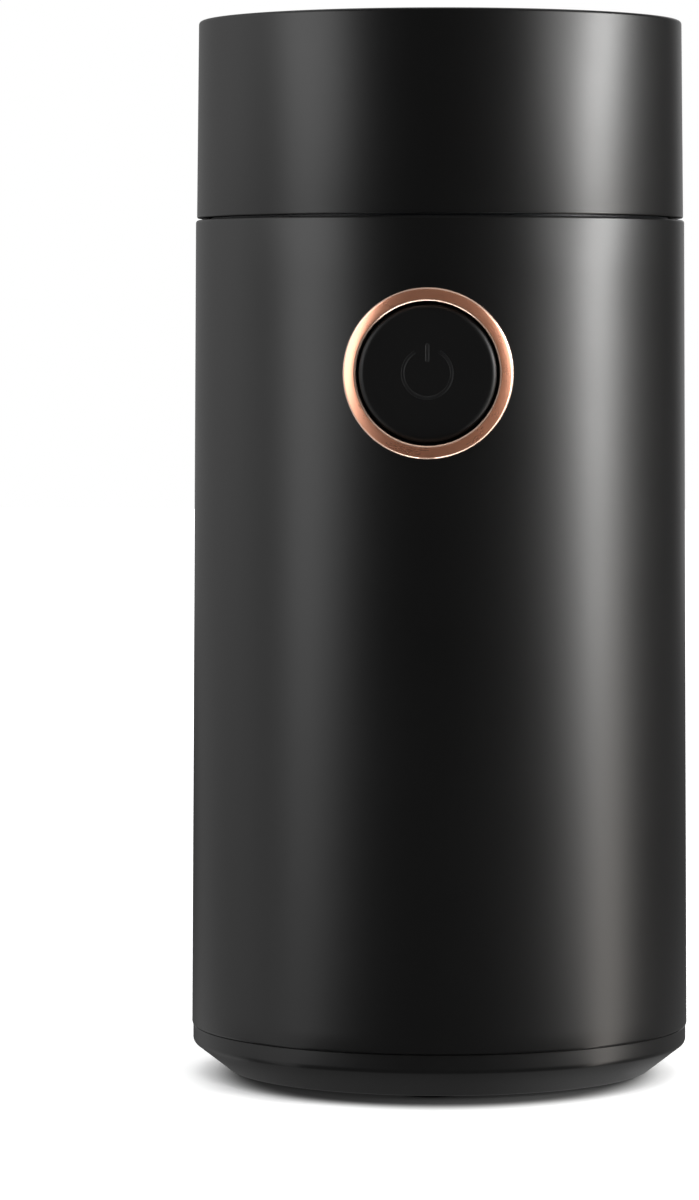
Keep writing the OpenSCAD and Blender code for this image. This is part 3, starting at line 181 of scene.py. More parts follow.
# %% Patterns
def lumps(place, size, detail=2.0, stretch=(1, 1, 1)):
    """Noise from 0 to 1 whose lumps are about size millimetres, stretched along an axis."""
    if stretch != (1, 1, 1):
        place = place.node("Mapping", None, {"Vector": place, "Scale": stretch})
    return place.node("TexNoise", None, {"Vector": place, "Scale": 1 / (size * MM),
                                         "Detail": detail, "Roughness": 0.55})


def axes(place):
    """The x, y and z of a place, each as a wire."""
    return [place.node("SeparateXYZ", None, {0: place}, out=i) for i in range(3)]


def turned_marks(place, size, about="z", centre=0.0):
    """Noise in rings about the upright axis, or about the button's axis for about='y'."""
    x, y, z = axes(place)
    if about == "y":
        y, z = z - centre, y
    radius = flat_length(x, y)
    sweep = x.maths("ARCTAN2", y, x) * (0.4 * size * MM)
    rings = x.node("CombineXYZ", None, {0: radius, 1: sweep, 2: z})
    return lumps(rings, size, detail=3.0)


print("patterns ready")

# %% [markdown]
# ## Finishes
#
# A finish is one Principled material. The plain numbers, such as metal or coat, go straight
# on its sockets. Only colour, roughness and the bump change over the surface. `finishes`
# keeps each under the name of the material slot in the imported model.

# %% Start and end a finish
finishes = {}


def begin(name):
    """A new material and the wire that carries its Object coordinates."""
    material = bpy.data.materials.new(name)
    material.use_nodes = True
    finishes[name] = material
    return Wire(material.node_tree).node("TexCoord", out=3)


def finish(place, sockets, height=None, depth=0.0):
    """Sets the shader's sockets, and a bump of a depth in millimetres."""
    shader = place.tree.nodes["Principled BSDF"]
    if height is not None:
        sockets["Normal"] = place.node(
            "Bump", None, {"Strength": 1.0, "Distance": depth * MM, "Height": height}
        )
    for socket, value in sockets.items():
        if isinstance(value, Wire):
            place.tree.links.new(value.socket, shader.inputs[socket])
        else:
            shader.inputs[socket].default_value = value


def tint(colour, level):
    """A colour made lighter or darker by a level."""
    return [min(1.0, part * level) for part in colour[:3]] + [1.0]


print("finishes can be made")

# %% [markdown]
# ### The black of the casing
#
# The lid, the body, the base and the button are moulded in black plastic from a spark-eroded
# mould, whose surface is a fine even grain of about 0.3 mm. It scatters the reflection of a
# lamp into a wide soft band with tiny bright points in it. A very dark colour, a middle
# roughness and a shallow bump give the band, and the bright points are painted glints: small
# spots of paler colour over the grain. Hands polish the grain in soft patches, and edges wear a
# little smoother, which a second, large noise and a mask by height give to the roughness. The
# button has a finer grain and a lower gloss, and the strokes of its on/off sign are a shade
# paler than its face.

# %% Casing black
CASING, BASE_BLACK = (0.0019, 0.0018, 0.0018), (0.0028, 0.0027, 0.0027)
STROKE_BLACK = (0.009, 0.009, 0.0093, 1)
BUTTON_Z, SIGN_R, SIGN_GAP, STROKE = 127.0, 4.25, 30, 0.3
BAR_UP, BAR_HALF = 3.55, 1.25
WORN_REACH = 0.7


def on_off_sign(place):
    """1 on the strokes of the button's on/off sign and 0 elsewhere."""
    x, y, z = axes(place)
    x, z = x * (1 / MM), z * (1 / MM) - BUTTON_Z
    broken = 1 - step(abs(flat_length(x, z) - SIGN_R), STROKE - 0.06, STROKE + 0.06)
    broken = broken * step(abs(flat_angle(x, z)), SIGN_GAP - 2, SIGN_GAP + 2)
    bar = (1 - step(abs(x), STROKE, STROKE + 0.12)) * (
        1 - step(abs(z - BAR_UP), BAR_HALF + 0.25, BAR_HALF + 0.4))
    return broken.maths("MAXIMUM", broken, bar)


def casing_black(name, rough, edges, grain=0.3, depth=0.0045, colour=CASING, marks=None,
                 gloss=0.5):
    """Black moulded plastic, with the heights of its worn edges in millimetres."""
    place = begin(name)
    grains = lumps(place, grain, detail=1.5)
    handled = lumps(place, 30, detail=3.0)
    # Painted glints: spots of paler colour that stand in for the bright points of light in the
    # grain's reflection.
    painted_glint_specks = step(lumps(place, grain * 1.7, detail=0.0), 0.66, 0.74)
    z = axes(place)[2]
    worn = sum(1 - step(abs(z - edge * MM), 0.0, WORN_REACH * MM) for edge in edges)
    shade = blend(painted_glint_specks * 0.5, blend(handled, tint(colour, 0.9), tint(colour, 1.1)),
                  tint(colour, 1.7))
    if marks:
        shade = blend(marks(place), shade, STROKE_BLACK)
    roughness = grains * 0.09 + handled * 0.05 - worn * 0.05 + (rough - 0.07)
    finish(place, {"Base Color": shade, "Roughness": roughness, "IOR": 1.48,
                   "Specular IOR Level": gloss}, grains, depth)


casing_black("lid_black", 0.37, [154.6, 190.0])
casing_black("body_black", 0.37, [154.25, 8.7])
casing_black("base_black", 0.39, [0.6, 8.7], colour=BASE_BLACK)
casing_black("button_black", 0.47, [], grain=0.25, depth=0.002, marks=on_off_sign,
             gloss=0.34)
print("casing finishes:", sorted(finishes))

# %% [markdown]
# ### Rose gold
#
# The ring round the button is turned, plated in a copper colour and lacquered. The clear
# coat makes bright reflections paler than the metal's own warm colour. The tool leaves very
# fine rings about the button's axis, and the plating is a little uneven. The two bevels are
# cut last and polished, so they are paler and smoother.

# %% Rose gold
POLISHED_IN, POLISHED_OUT, POLISH_BLEND = 12.81, 14.57, 0.05
PLATED_LOW, PLATED_HIGH = (0.92, 0.355, 0.19, 1), (0.97, 0.42, 0.245, 1)
POLISHED = (0.97, 0.66, 0.50, 1)
place = begin("rose_gold")
rings = turned_marks(place, 0.12, about="y", centre=BUTTON_Z * MM)
cloud = lumps(place, 3.5, detail=3.0)
x, y, z = axes(place)
radius = flat_length(x, z - BUTTON_Z * MM) * (1 / MM)
edges = step(radius, POLISHED_OUT - POLISH_BLEND, POLISHED_OUT + POLISH_BLEND) + (
    1 - step(radius, POLISHED_IN - POLISH_BLEND, POLISHED_IN + POLISH_BLEND))
plated = blend(cloud, PLATED_LOW, PLATED_HIGH)
finish(place, {
    "Base Color": blend(edges, plated, POLISHED),
    "Metallic": 0.86 - edges * 0.22,
    "Roughness": rings * 0.02 + cloud * 0.04 + 0.25 - edges * 0.08,
    "Coat Weight": 1.0, "Coat IOR": 1.9, "Coat Roughness": 0.25,
}, rings, 0.0008)
print("rose gold ready")

# %% [markdown]
# ### Other plastics, rubber and silicone
#
# The inner frame, the switches and the fan are plain mouldings with a lower gloss, and the
# seals are silicone: softer, slightly see-through and dustier. One function makes them all
# from a colour, a roughness and a grain.

# %% Moulded plastics and rubbers
def moulded(name, colour, rough, grain=0.5, depth=0.004, uneven=0.12, **sockets):
    """Moulded plastic or rubber with a fine grain and slightly uneven colour."""
    place = begin(name)
    grains = lumps(place, grain, detail=2.0)
    flow = lumps(place, 14, detail=3.0, stretch=(1, 1, 0.35))
    shade = blend(flow, tint(colour, 1 - uneven), tint(colour, 1 + uneven))
    shared = {"Base Color": shade, "Roughness": grains * 0.12 + flow * 0.08 + (rough - 0.1)}
    finish(place, {**shared, **sockets}, grains, depth)


moulded("smoke_plastic", (0.075, 0.078, 0.082), 0.22, depth=0.001, **{"Coat Weight": 0.3})
moulded("frame_plastic", (0.022, 0.024, 0.027), 0.42)
moulded("fan_plastic", (0.045, 0.052, 0.06), 0.4)
moulded("switch_plastic", (0.018, 0.02, 0.022), 0.38)
moulded("plunger_plastic", (0.48, 0.06, 0.03), 0.35)
moulded("rod_plastic", (0.62, 0.58, 0.48), 0.33)
moulded("capacitor_film", (0.62, 0.4, 0.035), 0.2, **{"Coat Weight": 0.5})
moulded("fibre", (0.34, 0.075, 0.03), 0.62, grain=0.8, depth=0.01, uneven=0.2)
moulded("carbon", (0.028, 0.028, 0.03), 0.5, grain=0.2, depth=0.006, uneven=0.25)
moulded("silicone", (0.30, 0.31, 0.32), 0.5, grain=0.9, uneven=0.06,
        **{"Subsurface Weight": 0.15})
moulded("black_rubber", (0.014, 0.014, 0.015), 0.55, grain=0.35, depth=0.008)
moulded("foot_rubber", (0.02, 0.02, 0.021), 0.62, grain=0.3, depth=0.012, uneven=0.2)
moulded("lead_brown", (0.16, 0.055, 0.022), 0.35, grain=1.2, depth=0.01)
moulded("lead_blue", (0.022, 0.085, 0.24), 0.35, grain=1.2, depth=0.01)
print("moulded finishes:", len(finishes))

# %% [markdown]
# ### Metals
#
# Stainless bowls are spun on a lathe and then polished on a wheel, so their marks run
# round. Blades are ground along their length, nuts and shafts are turned, and brackets are
# punched from zinc-plated sheet with a cloudy grain.

# %% Metals
def turned_metal(name, colour, rough, size=0.18, depth=0.0015):
    """Metal with fine rings about the upright axis."""
    place = begin(name)
    rings = turned_marks(place, size)
    smears = lumps(place, 9, detail=4.0)
    shade = blend(smears, tint(colour, 0.92), tint(colour, 1.05))
    finish(place, {"Base Color": shade, "Metallic": 1.0,
                   "Roughness": rings * 0.14 + smears * 0.08 + (rough - 0.1)}, rings, depth)


def ground_metal(name, colour, rough, angle):
    """Metal with straight scratches at an angle about the upright axis."""
    place = begin(name)
    turned = place.node("Mapping", None, {"Vector": place, "Rotation": (0, 0, angle)})
    scratches = lumps(turned, 0.15, detail=3.0, stretch=(0.04, 1, 1))
    smears = lumps(place, 6, detail=3.0)
    shade = blend(scratches, tint(colour, 0.86), tint(colour, 1.08))
    finish(place, {"Base Color": shade, "Metallic": 1.0,
                   "Roughness": scratches * 0.2 + smears * 0.06 + (rough - 0.12)},
           scratches, 0.004)


def plated_metal(name, colour, rough, size=1.6):
    """Rolled and plated sheet with a cloudy grain."""
    place = begin(name)
    cloud = lumps(place, size, detail=4.0)
    fine = lumps(place, 0.12, detail=1.0)
    shade = blend(cloud, tint(colour, 0.82), tint(colour, 1.08))
    finish(place, {"Base Color": shade, "Metallic": 1.0,
                   "Roughness": cloud * 0.16 + fine * 0.06 + (rough - 0.1)}, fine, 0.002)


turned_metal("bowl_steel", (0.60, 0.60, 0.61), 0.21)
turned_metal("steel", (0.56, 0.57, 0.58), 0.24, size=0.25)
turned_metal("copper_bars", (0.72, 0.36, 0.19), 0.3)
turned_metal("brass", (0.68, 0.49, 0.2), 0.28)
turned_metal("bronze", (0.46, 0.27, 0.12), 0.38)
ground_metal("blade_steel", (0.62, 0.625, 0.63), 0.24, math.radians(-20))
plated_metal("zinc_steel", (0.50, 0.51, 0.52), 0.34)
plated_metal("spring_steel", (0.42, 0.42, 0.43), 0.28, size=0.6)
print("metals ready, finishes so far:", len(finishes))

# %% [markdown]
# ### Motor finishes
#
# The stator and the armature are stacks of thin steel sheets, so their sides are lined
# every half millimetre, with a film of blue-grey varnish. The coils are enamelled wire: a
# deep amber copper in fine strands. Stripes come from a sine of the height, which leans for
# the strands.

# %% Laminations and windings
def striped(name, colour, dark, pitch, rough, metal, depth, lean=0.0):
    """Metal or enamel lined across its height, with the stripes leaning by a share."""
    place = begin(name)
    x, y, z = axes(place)
    run = z + (x + y) * lean + lumps(place, 4) * (pitch * MM * 0.6)
    wave = run.maths("SINE", run * (2 * math.pi / (pitch * MM))) * 0.5 + 0.5
    cloud = lumps(place, 5, detail=3.0)
    shade = blend(wave, dark, blend(cloud, tint(colour, 0.85), tint(colour, 1.1)))
    finish(place, {"Base Color": shade, "Metallic": metal,
                   "Roughness": (1 - wave) * 0.2 + cloud * 0.1 + rough}, wave, depth)


striped("lamination", (0.20, 0.21, 0.23), (0.05, 0.05, 0.055, 1), 0.5, 0.38, 0.85, 0.05)
striped("copper", (0.50, 0.17, 0.055), (0.16, 0.045, 0.015, 1), 0.55, 0.25, 0.75, 0.08, 0.5)
print("all finishes:", len(finishes))

# %% [markdown]
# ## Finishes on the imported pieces
#
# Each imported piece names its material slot. Putting the finish of that name in the piece's
# own slot dresses the motor, the switches and the leads, whose shapes are right as they
# come.

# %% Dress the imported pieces
for part in frame["record"]["subparts"]:
    for slot in nodes[part["node"]].material_slots:
        slot.material = finishes[part["material_slot"]]
slot_of = {part["node"]: part["material_slot"] for part in frame["record"]["subparts"]}
print("dressed", len(slot_of), "packed pieces")

# %% [markdown]
# ## Modelling by hand, in code
#
# The next cells are the few moves that a modeller makes with the mouse. `primitive` adds a
# shape at its size and place with nothing else selected. `editing` opens a piece in edit
# mode and closes it again. `select` picks vertices, edges or faces by a test on their place
# or normal.

# %% Adding, editing and selecting
def alone(piece):
    """Makes a piece the only selected and the active object."""
    bpy.ops.object.select_all(action="DESELECT")
    piece.select_set(True)
    bpy.context.view_layer.objects.active = piece


def primitive(kind, name, **place):
    """Adds one primitive, alone in the selection, under a name."""
    bpy.ops.object.select_all(action="DESELECT")
    getattr(bpy.ops.mesh, "primitive_" + kind + "_add")(**place)
    piece = bpy.context.object
    piece.name = piece.data.name = name
    return piece


@contextlib.contextmanager
def editing(piece):
    """Edit mode on one piece, for as long as the with block lasts."""
    alone(piece)
    bpy.ops.object.mode_set(mode="EDIT")
    bpy.ops.mesh.select_mode(type="VERT")
    yield
    bpy.ops.object.mode_set(mode="OBJECT")


def select(piece, kind, keep):
    """Selects the VERT, EDGE or FACE items of a piece in edit mode that pass a test."""
    bpy.ops.mesh.select_mode(type=kind)
    bpy.ops.mesh.select_all(action="DESELECT")
    mesh = bmesh.from_edit_mesh(piece.data)
    items = {"VERT": mesh.verts, "EDGE": mesh.edges, "FACE": mesh.faces}[kind]
    for item in items:
        if keep(item):
            item.select_set(True)
    mesh.select_flush_mode()
    bmesh.update_edit_mesh(piece.data)


def select_loop(piece, loop):
    """Selects the vertices with the numbers in a list."""
    chosen = set(loop)
    select(piece, "VERT", lambda v: v.index in chosen)


def select_all():
    """Selects all of the piece in edit mode."""
    bpy.ops.mesh.select_all(action="SELECT")


print("selecting ready")

# %% [markdown]
# ### Changing whole pieces
#
# `apply` adds a modifier and applies it, so that the mesh holds the result. `settle` moves a
# piece's place into its mesh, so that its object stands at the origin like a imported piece.
# `soften_low_end` rounds the edge at the lower end of a pin or pad.

# %% Modifiers, merging and joining
def apply(piece, kind, **settings):
    """Adds a modifier with its settings and applies it."""
    alone(piece)
    modifier = piece.modifiers.new(kind, kind)
    for name, setting in settings.items():
        setattr(modifier, name, setting)
    bpy.ops.object.modifier_apply(modifier=modifier.name)


def settle(piece):
    """Puts a piece's place, turn and size into its mesh."""
    alone(piece)
    bpy.ops.object.transform_apply(location=True, rotation=True, scale=True)
    return piece


def smooth(piece, angle=30):
    """Shades a piece smooth, but for edges sharper than an angle."""
    alone(piece)
    bpy.ops.object.shade_smooth_by_angle(angle=math.radians(angle))


def clean(piece):
    """Merges doubles, closes what is open and turns all faces outwards."""
    with editing(piece):
        select_all()
        bpy.ops.mesh.remove_doubles(threshold=0.001 * MM)
        bpy.ops.mesh.fill_holes(sides=0)
        select_all()
        bpy.ops.mesh.normals_make_consistent(inside=False)


def join(piece, *others):
    """Joins other meshes to a piece."""
    alone(piece)
    for other in others:
        other.select_set(True)
    bpy.ops.object.join()
    return piece


def cut_with(piece, cutter, operation="DIFFERENCE"):
    """Takes a cutter's shape out of a piece, or adds it to it, and deletes the cutter."""
    apply(piece, "BOOLEAN", object=cutter, operation=operation, solver="EXACT")
    bpy.data.objects.remove(cutter)


def soften_low_end(piece, width, segments):
    """Bevels the end at a piece's own -z by a width in mm, and settles the piece."""
    with editing(piece):
        select(piece, "FACE", lambda face: face.normal.z < -0.9)
        bpy.ops.mesh.bevel(offset=width * MM, segments=segments, affect="EDGES")
    return settle(piece)


def turned_copies(piece, angles):
    """Copies of a piece turned about the upright axis, which take its place."""
    twins = []
    for i, degrees in enumerate(angles):
        twin = piece.copy()
        twin.data = piece.data.copy()
        twin.name = twin.data.name = f"{piece.name}_{i + 1}"
        link(twin)
        twin.rotation_euler = (0, 0, math.radians(degrees))
        twins.append(settle(twin))
    bpy.data.objects.remove(piece)
    return twins


print("moves ready")

# %% [markdown]
# ### Handing a piece over
#
# A finished piece gets its finish in its own slot and the body that it moves with, and the
# packed piece that it stands for is hidden.

# %% Place a piece
pieces_made = []


def place_piece(piece, body, slot, *stands_for):
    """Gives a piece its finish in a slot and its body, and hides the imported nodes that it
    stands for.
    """
    piece.data.materials.clear()
    piece.data.materials.append(finishes[slot])
    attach(piece, body)
    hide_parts(*stands_for)
    pieces_made.append(piece.name)
    print(piece.name, "rides on", body, "with", len(piece.data.polygons), "faces")


print("placing ready")

# %% [markdown]
# ## Turned pieces
#
# Most of the grinder is round about one axis. By hand, one adds a circle, extrudes it up
# and scales it, again and again, until the last ring closes on the first. `turned` does
# this for a list of radii and heights, and `arc` gives the points of a fillet. 192 sides
# keep the outline round.

# %% Turned pieces
SIDES = 192


def turned(name, profile, sides=SIDES):
    """A solid or ring turned from (radius, height) points in mm about the upright axis."""
    radius, height = profile[0]
    piece = primitive("circle", name, vertices=sides, radius=radius * MM,
                      location=(0, 0, height * MM))
    with editing(piece):
        select_all()
        for next_radius, next_height in profile[1:]:
            bpy.ops.mesh.extrude_region_move(
                TRANSFORM_OT_translate={"value": (0, 0, (next_height - height) * MM)})
            share = next_radius / radius
            bpy.ops.transform.resize(value=(share, share, 1),
                                     center_override=(0, 0, next_height * MM))
            radius, height = next_radius, next_height
    clean(piece)
    return settle(piece)


def arc(centre, radius, start, end, points=6):
    """Points of a fillet about a centre, from one angle to another, in degrees."""
    turns = [math.radians(start + (end - start) * i / points) for i in range(points + 1)]
    return [(centre[0] + radius * math.cos(a), centre[1] + radius * math.sin(a))
            for a in turns]


print("turning ready")

# %% [markdown]
# ## Lid
#
# The lid is a deep cap with a flat top. Its side leans in by 0.4 mm from seam to top so
# that it leaves the mould, its top edge is rounded by 0.6 mm, and a snap rib inside holds
# the lining cup. Three short grips inside press on the neck of the body. Turning gives the
# cap in one closed wall, and the grips are cubes with bevelled edges.

# %% Lid
SEAM_Z, TOP_Z = 154.6, 190.0
LID_R0, LID_R1, LID_WALL, LID_EDGE, MOUTH_EDGE = 43.9, 43.5, 2.0, 0.6, 0.3
SNAP_Z, SNAP_R, SNAP_T = 168.4, 40.6, 0.8
GRIP_R, GRIP_Z, GRIP_SIZE = 42.5, 160.1, (2, 3, 7)


def lid_wall_r(z):
    """Inner radius of the lid's wall at a height."""
    return LID_R0 - (LID_R0 - LID_R1) * (z - SEAM_Z) / (TOP_Z - SEAM_Z) - LID_WALL


lid_profile = [
    (LID_R1 - LID_WALL, TOP_Z - LID_WALL), (lid_wall_r(SNAP_Z + SNAP_T), SNAP_Z + SNAP_T),
    (SNAP_R, SNAP_Z + SNAP_T), (SNAP_R, SNAP_Z), (lid_wall_r(SNAP_Z - 2), SNAP_Z - 2),
    (LID_R0 - LID_WALL, SEAM_Z),
    *arc((LID_R0 - MOUTH_EDGE, SEAM_Z + MOUTH_EDGE), MOUTH_EDGE, -90, 0, 4),
    *arc((LID_R1 - LID_EDGE, TOP_Z - LID_EDGE), LID_EDGE, 0, 90, 8),
]
lid = turned("lid_cap", lid_profile)
grip = primitive("cube", "lid_grip", size=1, location=(GRIP_R * MM, 0, GRIP_Z * MM),
                 scale=[size * MM for size in GRIP_SIZE])
with editing(grip):
    select(grip, "EDGE", lambda edge: max(v.co.x for v in edge.verts) < 0)
    bpy.ops.mesh.bevel(offset=0.4 * MM, segments=3, affect="EDGES")
settle(grip)
join(lid, *turned_copies(grip, (30, 150, 270)))
smooth(lid)
place_piece(lid, "lid", "lid_black", "lid_shell")

# %% [markdown]
# ## Lining cup of the lid
#
# Under the lid's top sits a smoke-grey cup: the roof of the grinding chamber. It hangs by
# a flange above the snap rib. A short peg at the back pushes down the safety rod. Turning
# makes the cup; the peg is a cylinder whose lower end is rounded.

# %% Lining cup
LINER_Z, CUP_TOP, CUP_WALL, CUP_T, CUP_CORNER = 169.5, 187.4, 38.4, 1.4, 5.0
FLANGE_IN, FLANGE_OUT, FLANGE_Z = 34.0, 41.3, LINER_Z + 1.5
SEAL_R, GROOVE_HALF, GROOVE_DEEP = 35.25, 0.5, 0.6
PEG_R, PEG_Y, PEG_LOW, PEG_HIGH = 1.2, 38.4, 164.9, 170.25
cup_corner = (CUP_WALL - CUP_T - CUP_CORNER, CUP_TOP - CUP_CORNER)
cup = turned("lid_cup", [
    *arc(cup_corner, CUP_CORNER - CUP_T, 90, 0), (CUP_WALL - CUP_T, FLANGE_Z),
    (FLANGE_IN, FLANGE_Z), (FLANGE_IN, LINER_Z),
    (SEAL_R - GROOVE_HALF, LINER_Z), (SEAL_R - GROOVE_HALF, LINER_Z + GROOVE_DEEP),
    (SEAL_R + GROOVE_HALF, LINER_Z + GROOVE_DEEP), (SEAL_R + GROOVE_HALF, LINER_Z),
    (FLANGE_OUT, LINER_Z), (FLANGE_OUT, FLANGE_Z), (CUP_WALL, FLANGE_Z),
    *arc(cup_corner, CUP_CORNER, 0, 90),
])
peg = primitive("cylinder", "rod_peg", radius=PEG_R * MM, depth=(PEG_HIGH - PEG_LOW) * MM,
                vertices=32, location=(0, PEG_Y * MM, (PEG_LOW + PEG_HIGH) / 2 * MM))
join(cup, soften_low_end(peg, 0.3, 3))
smooth(cup)
place_piece(cup, "lid", "smoke_plastic", "lid_liner")

# %% [markdown]
# ## Seal of the lid
#
# A silicone ring closes the chamber: its key sits in the cup's groove, and its face presses
# on the bowl's rim. Its section is a T with two broken edges, turned like the cup.

# %% Seal
SEAL_HALF, SEAL_LOW, SEAL_BREAK, KEY_HALF, KEY_TOP = 0.9, 168.3, 0.3, 0.48, 170.0
lip_z = SEAL_LOW + SEAL_BREAK / 2
seal = turned("lid_seal_ring", [
    (SEAL_R - SEAL_HALF, lip_z), (SEAL_R - SEAL_HALF + SEAL_BREAK, SEAL_LOW),
    (SEAL_R + SEAL_HALF - SEAL_BREAK, SEAL_LOW), (SEAL_R + SEAL_HALF, lip_z),
    (SEAL_R + SEAL_HALF, LINER_Z), (SEAL_R + KEY_HALF, LINER_Z), (SEAL_R + KEY_HALF, KEY_TOP),
    (SEAL_R - KEY_HALF, KEY_TOP), (SEAL_R - KEY_HALF, LINER_Z), (SEAL_R - SEAL_HALF, LINER_Z),
    (SEAL_R - SEAL_HALF, lip_z),
])
smooth(seal)
place_piece(seal, "lid", "silicone", "lid_seal")

# %% [markdown]
# ## Sleeve of the body
#
# The body is one tapered sleeve, 0.9 mm smaller in radius at the top, with a shelf inside
# for the frame. The hole for the button's ring and the one for the cord's grommet are cut
# with cylinders. A cut leaves long faces round the hole, which shade unevenly on a round
# wall, so the wall has extra rings there, close enough for the button's ring to cover them.

# %% Sleeve
BODY_LOW, BODY_TOP, BODY_R0, BODY_R1, WALL = 8.7, 154.25, 45.0, 44.1, 2.0
FOOT_EDGE, BODY_EDGE = 0.4, 0.5
LEDGE_R, LEDGE_Z, LEDGE_T, LEDGE_LOW = 40.22, 151.65, 2, 147.75
GLAND_Z, GLAND_HOLE_R, RING_HOLE_R = 20.0, 4.6, 13.52


def body_r(z):
    """Outer radius of the sleeve at a height."""
    return BODY_R0 - (BODY_R0 - BODY_R1) * (z - BODY_LOW) / (BODY_TOP - BODY_LOW)


ring_heights = [12.0 + 1.1 * i for i in range(15)] + [110.0 + 1.1 * i for i in range(32)]
sleeve = turned("body_sleeve", [
    (BODY_R0 - WALL, BODY_LOW),
    *arc((BODY_R0 - FOOT_EDGE, BODY_LOW + FOOT_EDGE), FOOT_EDGE, -90, 0, 4),
    *[(body_r(z), z) for z in ring_heights],
    *arc((BODY_R1 - BODY_EDGE, BODY_TOP - BODY_EDGE), BODY_EDGE, 0, 90, 5),
    (BODY_R1 - WALL, BODY_TOP), (body_r(LEDGE_Z) - WALL, LEDGE_Z), (LEDGE_R, LEDGE_Z),
    (LEDGE_R, LEDGE_Z - LEDGE_T), (body_r(LEDGE_LOW) - WALL, LEDGE_LOW),
    (BODY_R0 - WALL, BODY_LOW),
], sides=256)
for hole_z, hole_r, side in ((BUTTON_Z, RING_HOLE_R, -1), (GLAND_Z, GLAND_HOLE_R, 1)):
    drill = primitive("cylinder", "drill", radius=hole_r * MM, depth=20 * MM, vertices=96,
                      location=(0, side * 42 * MM, hole_z * MM), rotation=(math.pi / 2, 0, 0))
    cut_with(sleeve, drill)
smooth(sleeve)
place_piece(sleeve, "housing", "body_black", "body_shell")

# %% [markdown]
# ## Base
#
# The base is a shallow dish: a thin band 0.2 mm inside the body's wall, a fillet, and a
# long chamfer down to a flat floor. It is turned in one closed section.

# %% Base
BAND_R, BASE_R, BASE_Z, BAND_Z, FILLET = 44.8, 38.3, 0.6, 5.6, 1.2
DISH_R, DISH_Z, SPIGOT_IN, SPIGOT_LOW, SPIGOT_R = 37.48, 3.0, 41.05, 8.0, 42.85
SPIGOT_TOP = 13.0
base_profile = [
    (DISH_R, DISH_Z), (SPIGOT_IN, SPIGOT_LOW), (SPIGOT_IN, SPIGOT_TOP),
    (SPIGOT_R, SPIGOT_TOP), (SPIGOT_R, BODY_LOW), (BAND_R - 0.15, BODY_LOW),
    (BAND_R, BODY_LOW - 0.15),
    *arc((BAND_R - FILLET, BAND_Z + 0.591), FILLET, 0, -52.43, 8),
    (BASE_R + 0.24, BASE_Z + 0.185), (BASE_R + 0.08, BASE_Z + 0.05), (BASE_R - 0.12, BASE_Z),
]
base = turned("base_dish", base_profile)
print("base turned:", len(base.data.polygons), "faces")

# %% [markdown]
# ## Bosses, slots and seats of the base
#
# Four bosses stand in the dish for the screws. The floor has nine cooling slots under the
# fan, four recesses for the screws' heads and four round seats for the feet, cut with
# joined prisms. A slot's prism is a circle whose halves are moved apart before it is
# extruded.

# %% Bosses, slots and seats
SLOT_W, SLOT_PITCH, VENT_R, SLOT_TOP = 2.2, 4.8, 20.0, 4
POST_R, POST_ANGLES, BOSS_R, BOSS_LOW = 33.0, (60, 120, 240, 300), 5.4, 1.8
RECESS_R, RECESS_TOP, SCREW_R, SCREW_LOW = 3.8, 7.1, 1.7, 5
FOOT_R, FOOT_T, FEET_R, FOOT_ANGLES = 5.4, 1.8, 30.5, (0, 90, 180, 270)
BELOW, ABOVE = -1, 15


def polar(radius, degrees):
    """The x and y, in metres, of a point at a radius in mm and an angle."""
    turn = math.radians(degrees)
    return radius * MM * math.cos(turn), radius * MM * math.sin(turn)


def prism(name, x, y, low, high, radius, half=0.0, vertices=48):
    """An upright round prism, or a slot's prism where its halves are moved apart."""
    made = primitive("circle", name, vertices=vertices, radius=radius * MM, fill_type="NGON",
                     location=(x, y, low * MM))
    with editing(made):
        for side in (1, -1):
            select(made, "VERT", lambda v: side * v.co.y > 0.02 * radius * MM)
            bpy.ops.transform.translate(value=(0, side * half * MM, 0))
        select_all()
        bpy.ops.mesh.extrude_region_move(
            TRANSFORM_OT_translate={"value": (0, 0, (high - low) * MM)})
        select_all()
        bpy.ops.mesh.normals_make_consistent(inside=False)
    return settle(made)


def prisms(name, radius, angles, *sizes):
    """Round prisms of one size at a radius and some angles."""
    return [prism(name, *polar(radius, a), *sizes) for a in angles]


bosses = prisms("boss", POST_R, POST_ANGLES, BOSS_LOW, SPIGOT_TOP - 0.01, BOSS_R)
cut_with(base, join(*bosses), "UNION")
cutters = prisms("hole", POST_R, POST_ANGLES, BELOW, RECESS_TOP, RECESS_R)
cutters += prisms("seat", FEET_R, FOOT_ANGLES, BELOW, FOOT_T, FOOT_R + 0.1)
rows = int(VENT_R // SLOT_PITCH)
for i in range(-rows, rows + 1):
    x = i * SLOT_PITCH
    half = math.sqrt(VENT_R**2 - x * x)
    cutters.append(prism("slot", x * MM, 0, BELOW, SLOT_TOP, SLOT_W / 2, half, 24))
cut_with(base, join(*cutters))
cut_with(base, join(*prisms("screw_hole", POST_R, POST_ANGLES, SCREW_LOW, ABOVE, SCREW_R)))
smooth(base)
place_piece(base, "housing", "base_black", "base_cover")
print("slots in the base:", 2 * rows + 1)

# %% [markdown]
# ## Feet
#
# Four rubber discs are glued in the seats and stand 0.6 mm proud. One is made: a cylinder
# whose lower edge is rounded. Its four copies have their own meshes.

# %% Feet
foot = primitive("cylinder", "rubber_foot", radius=FOOT_R * MM, depth=FOOT_T * MM,
                 vertices=64, location=(FEET_R * MM, 0, FOOT_T / 2 * MM))
soften_low_end(foot, 0.5, 4)
with editing(foot):
    select(foot, "FACE", lambda face: face.normal.z < -0.99)
    bpy.ops.mesh.inset(thickness=1.4 * MM)
for pad in turned_copies(foot, FOOT_ANGLES):
    smooth(pad)
    place_piece(pad, "housing", "foot_rubber", "feet")

# %% [markdown]
# ## Pieces on a level axis
#
# The ring, the button and the grommet are turned too, but about a level axis that goes in
# through the wall. `bored` is `turned` laid on its back: its points are a radius and a
# depth from the grinder's axis, and it remembers the loop of vertices at each point.
# Points marked as lying on the wall are projected on a plain copy of the body's outer
# face and lifted off it, so that the ring wraps round the body as the real one does.

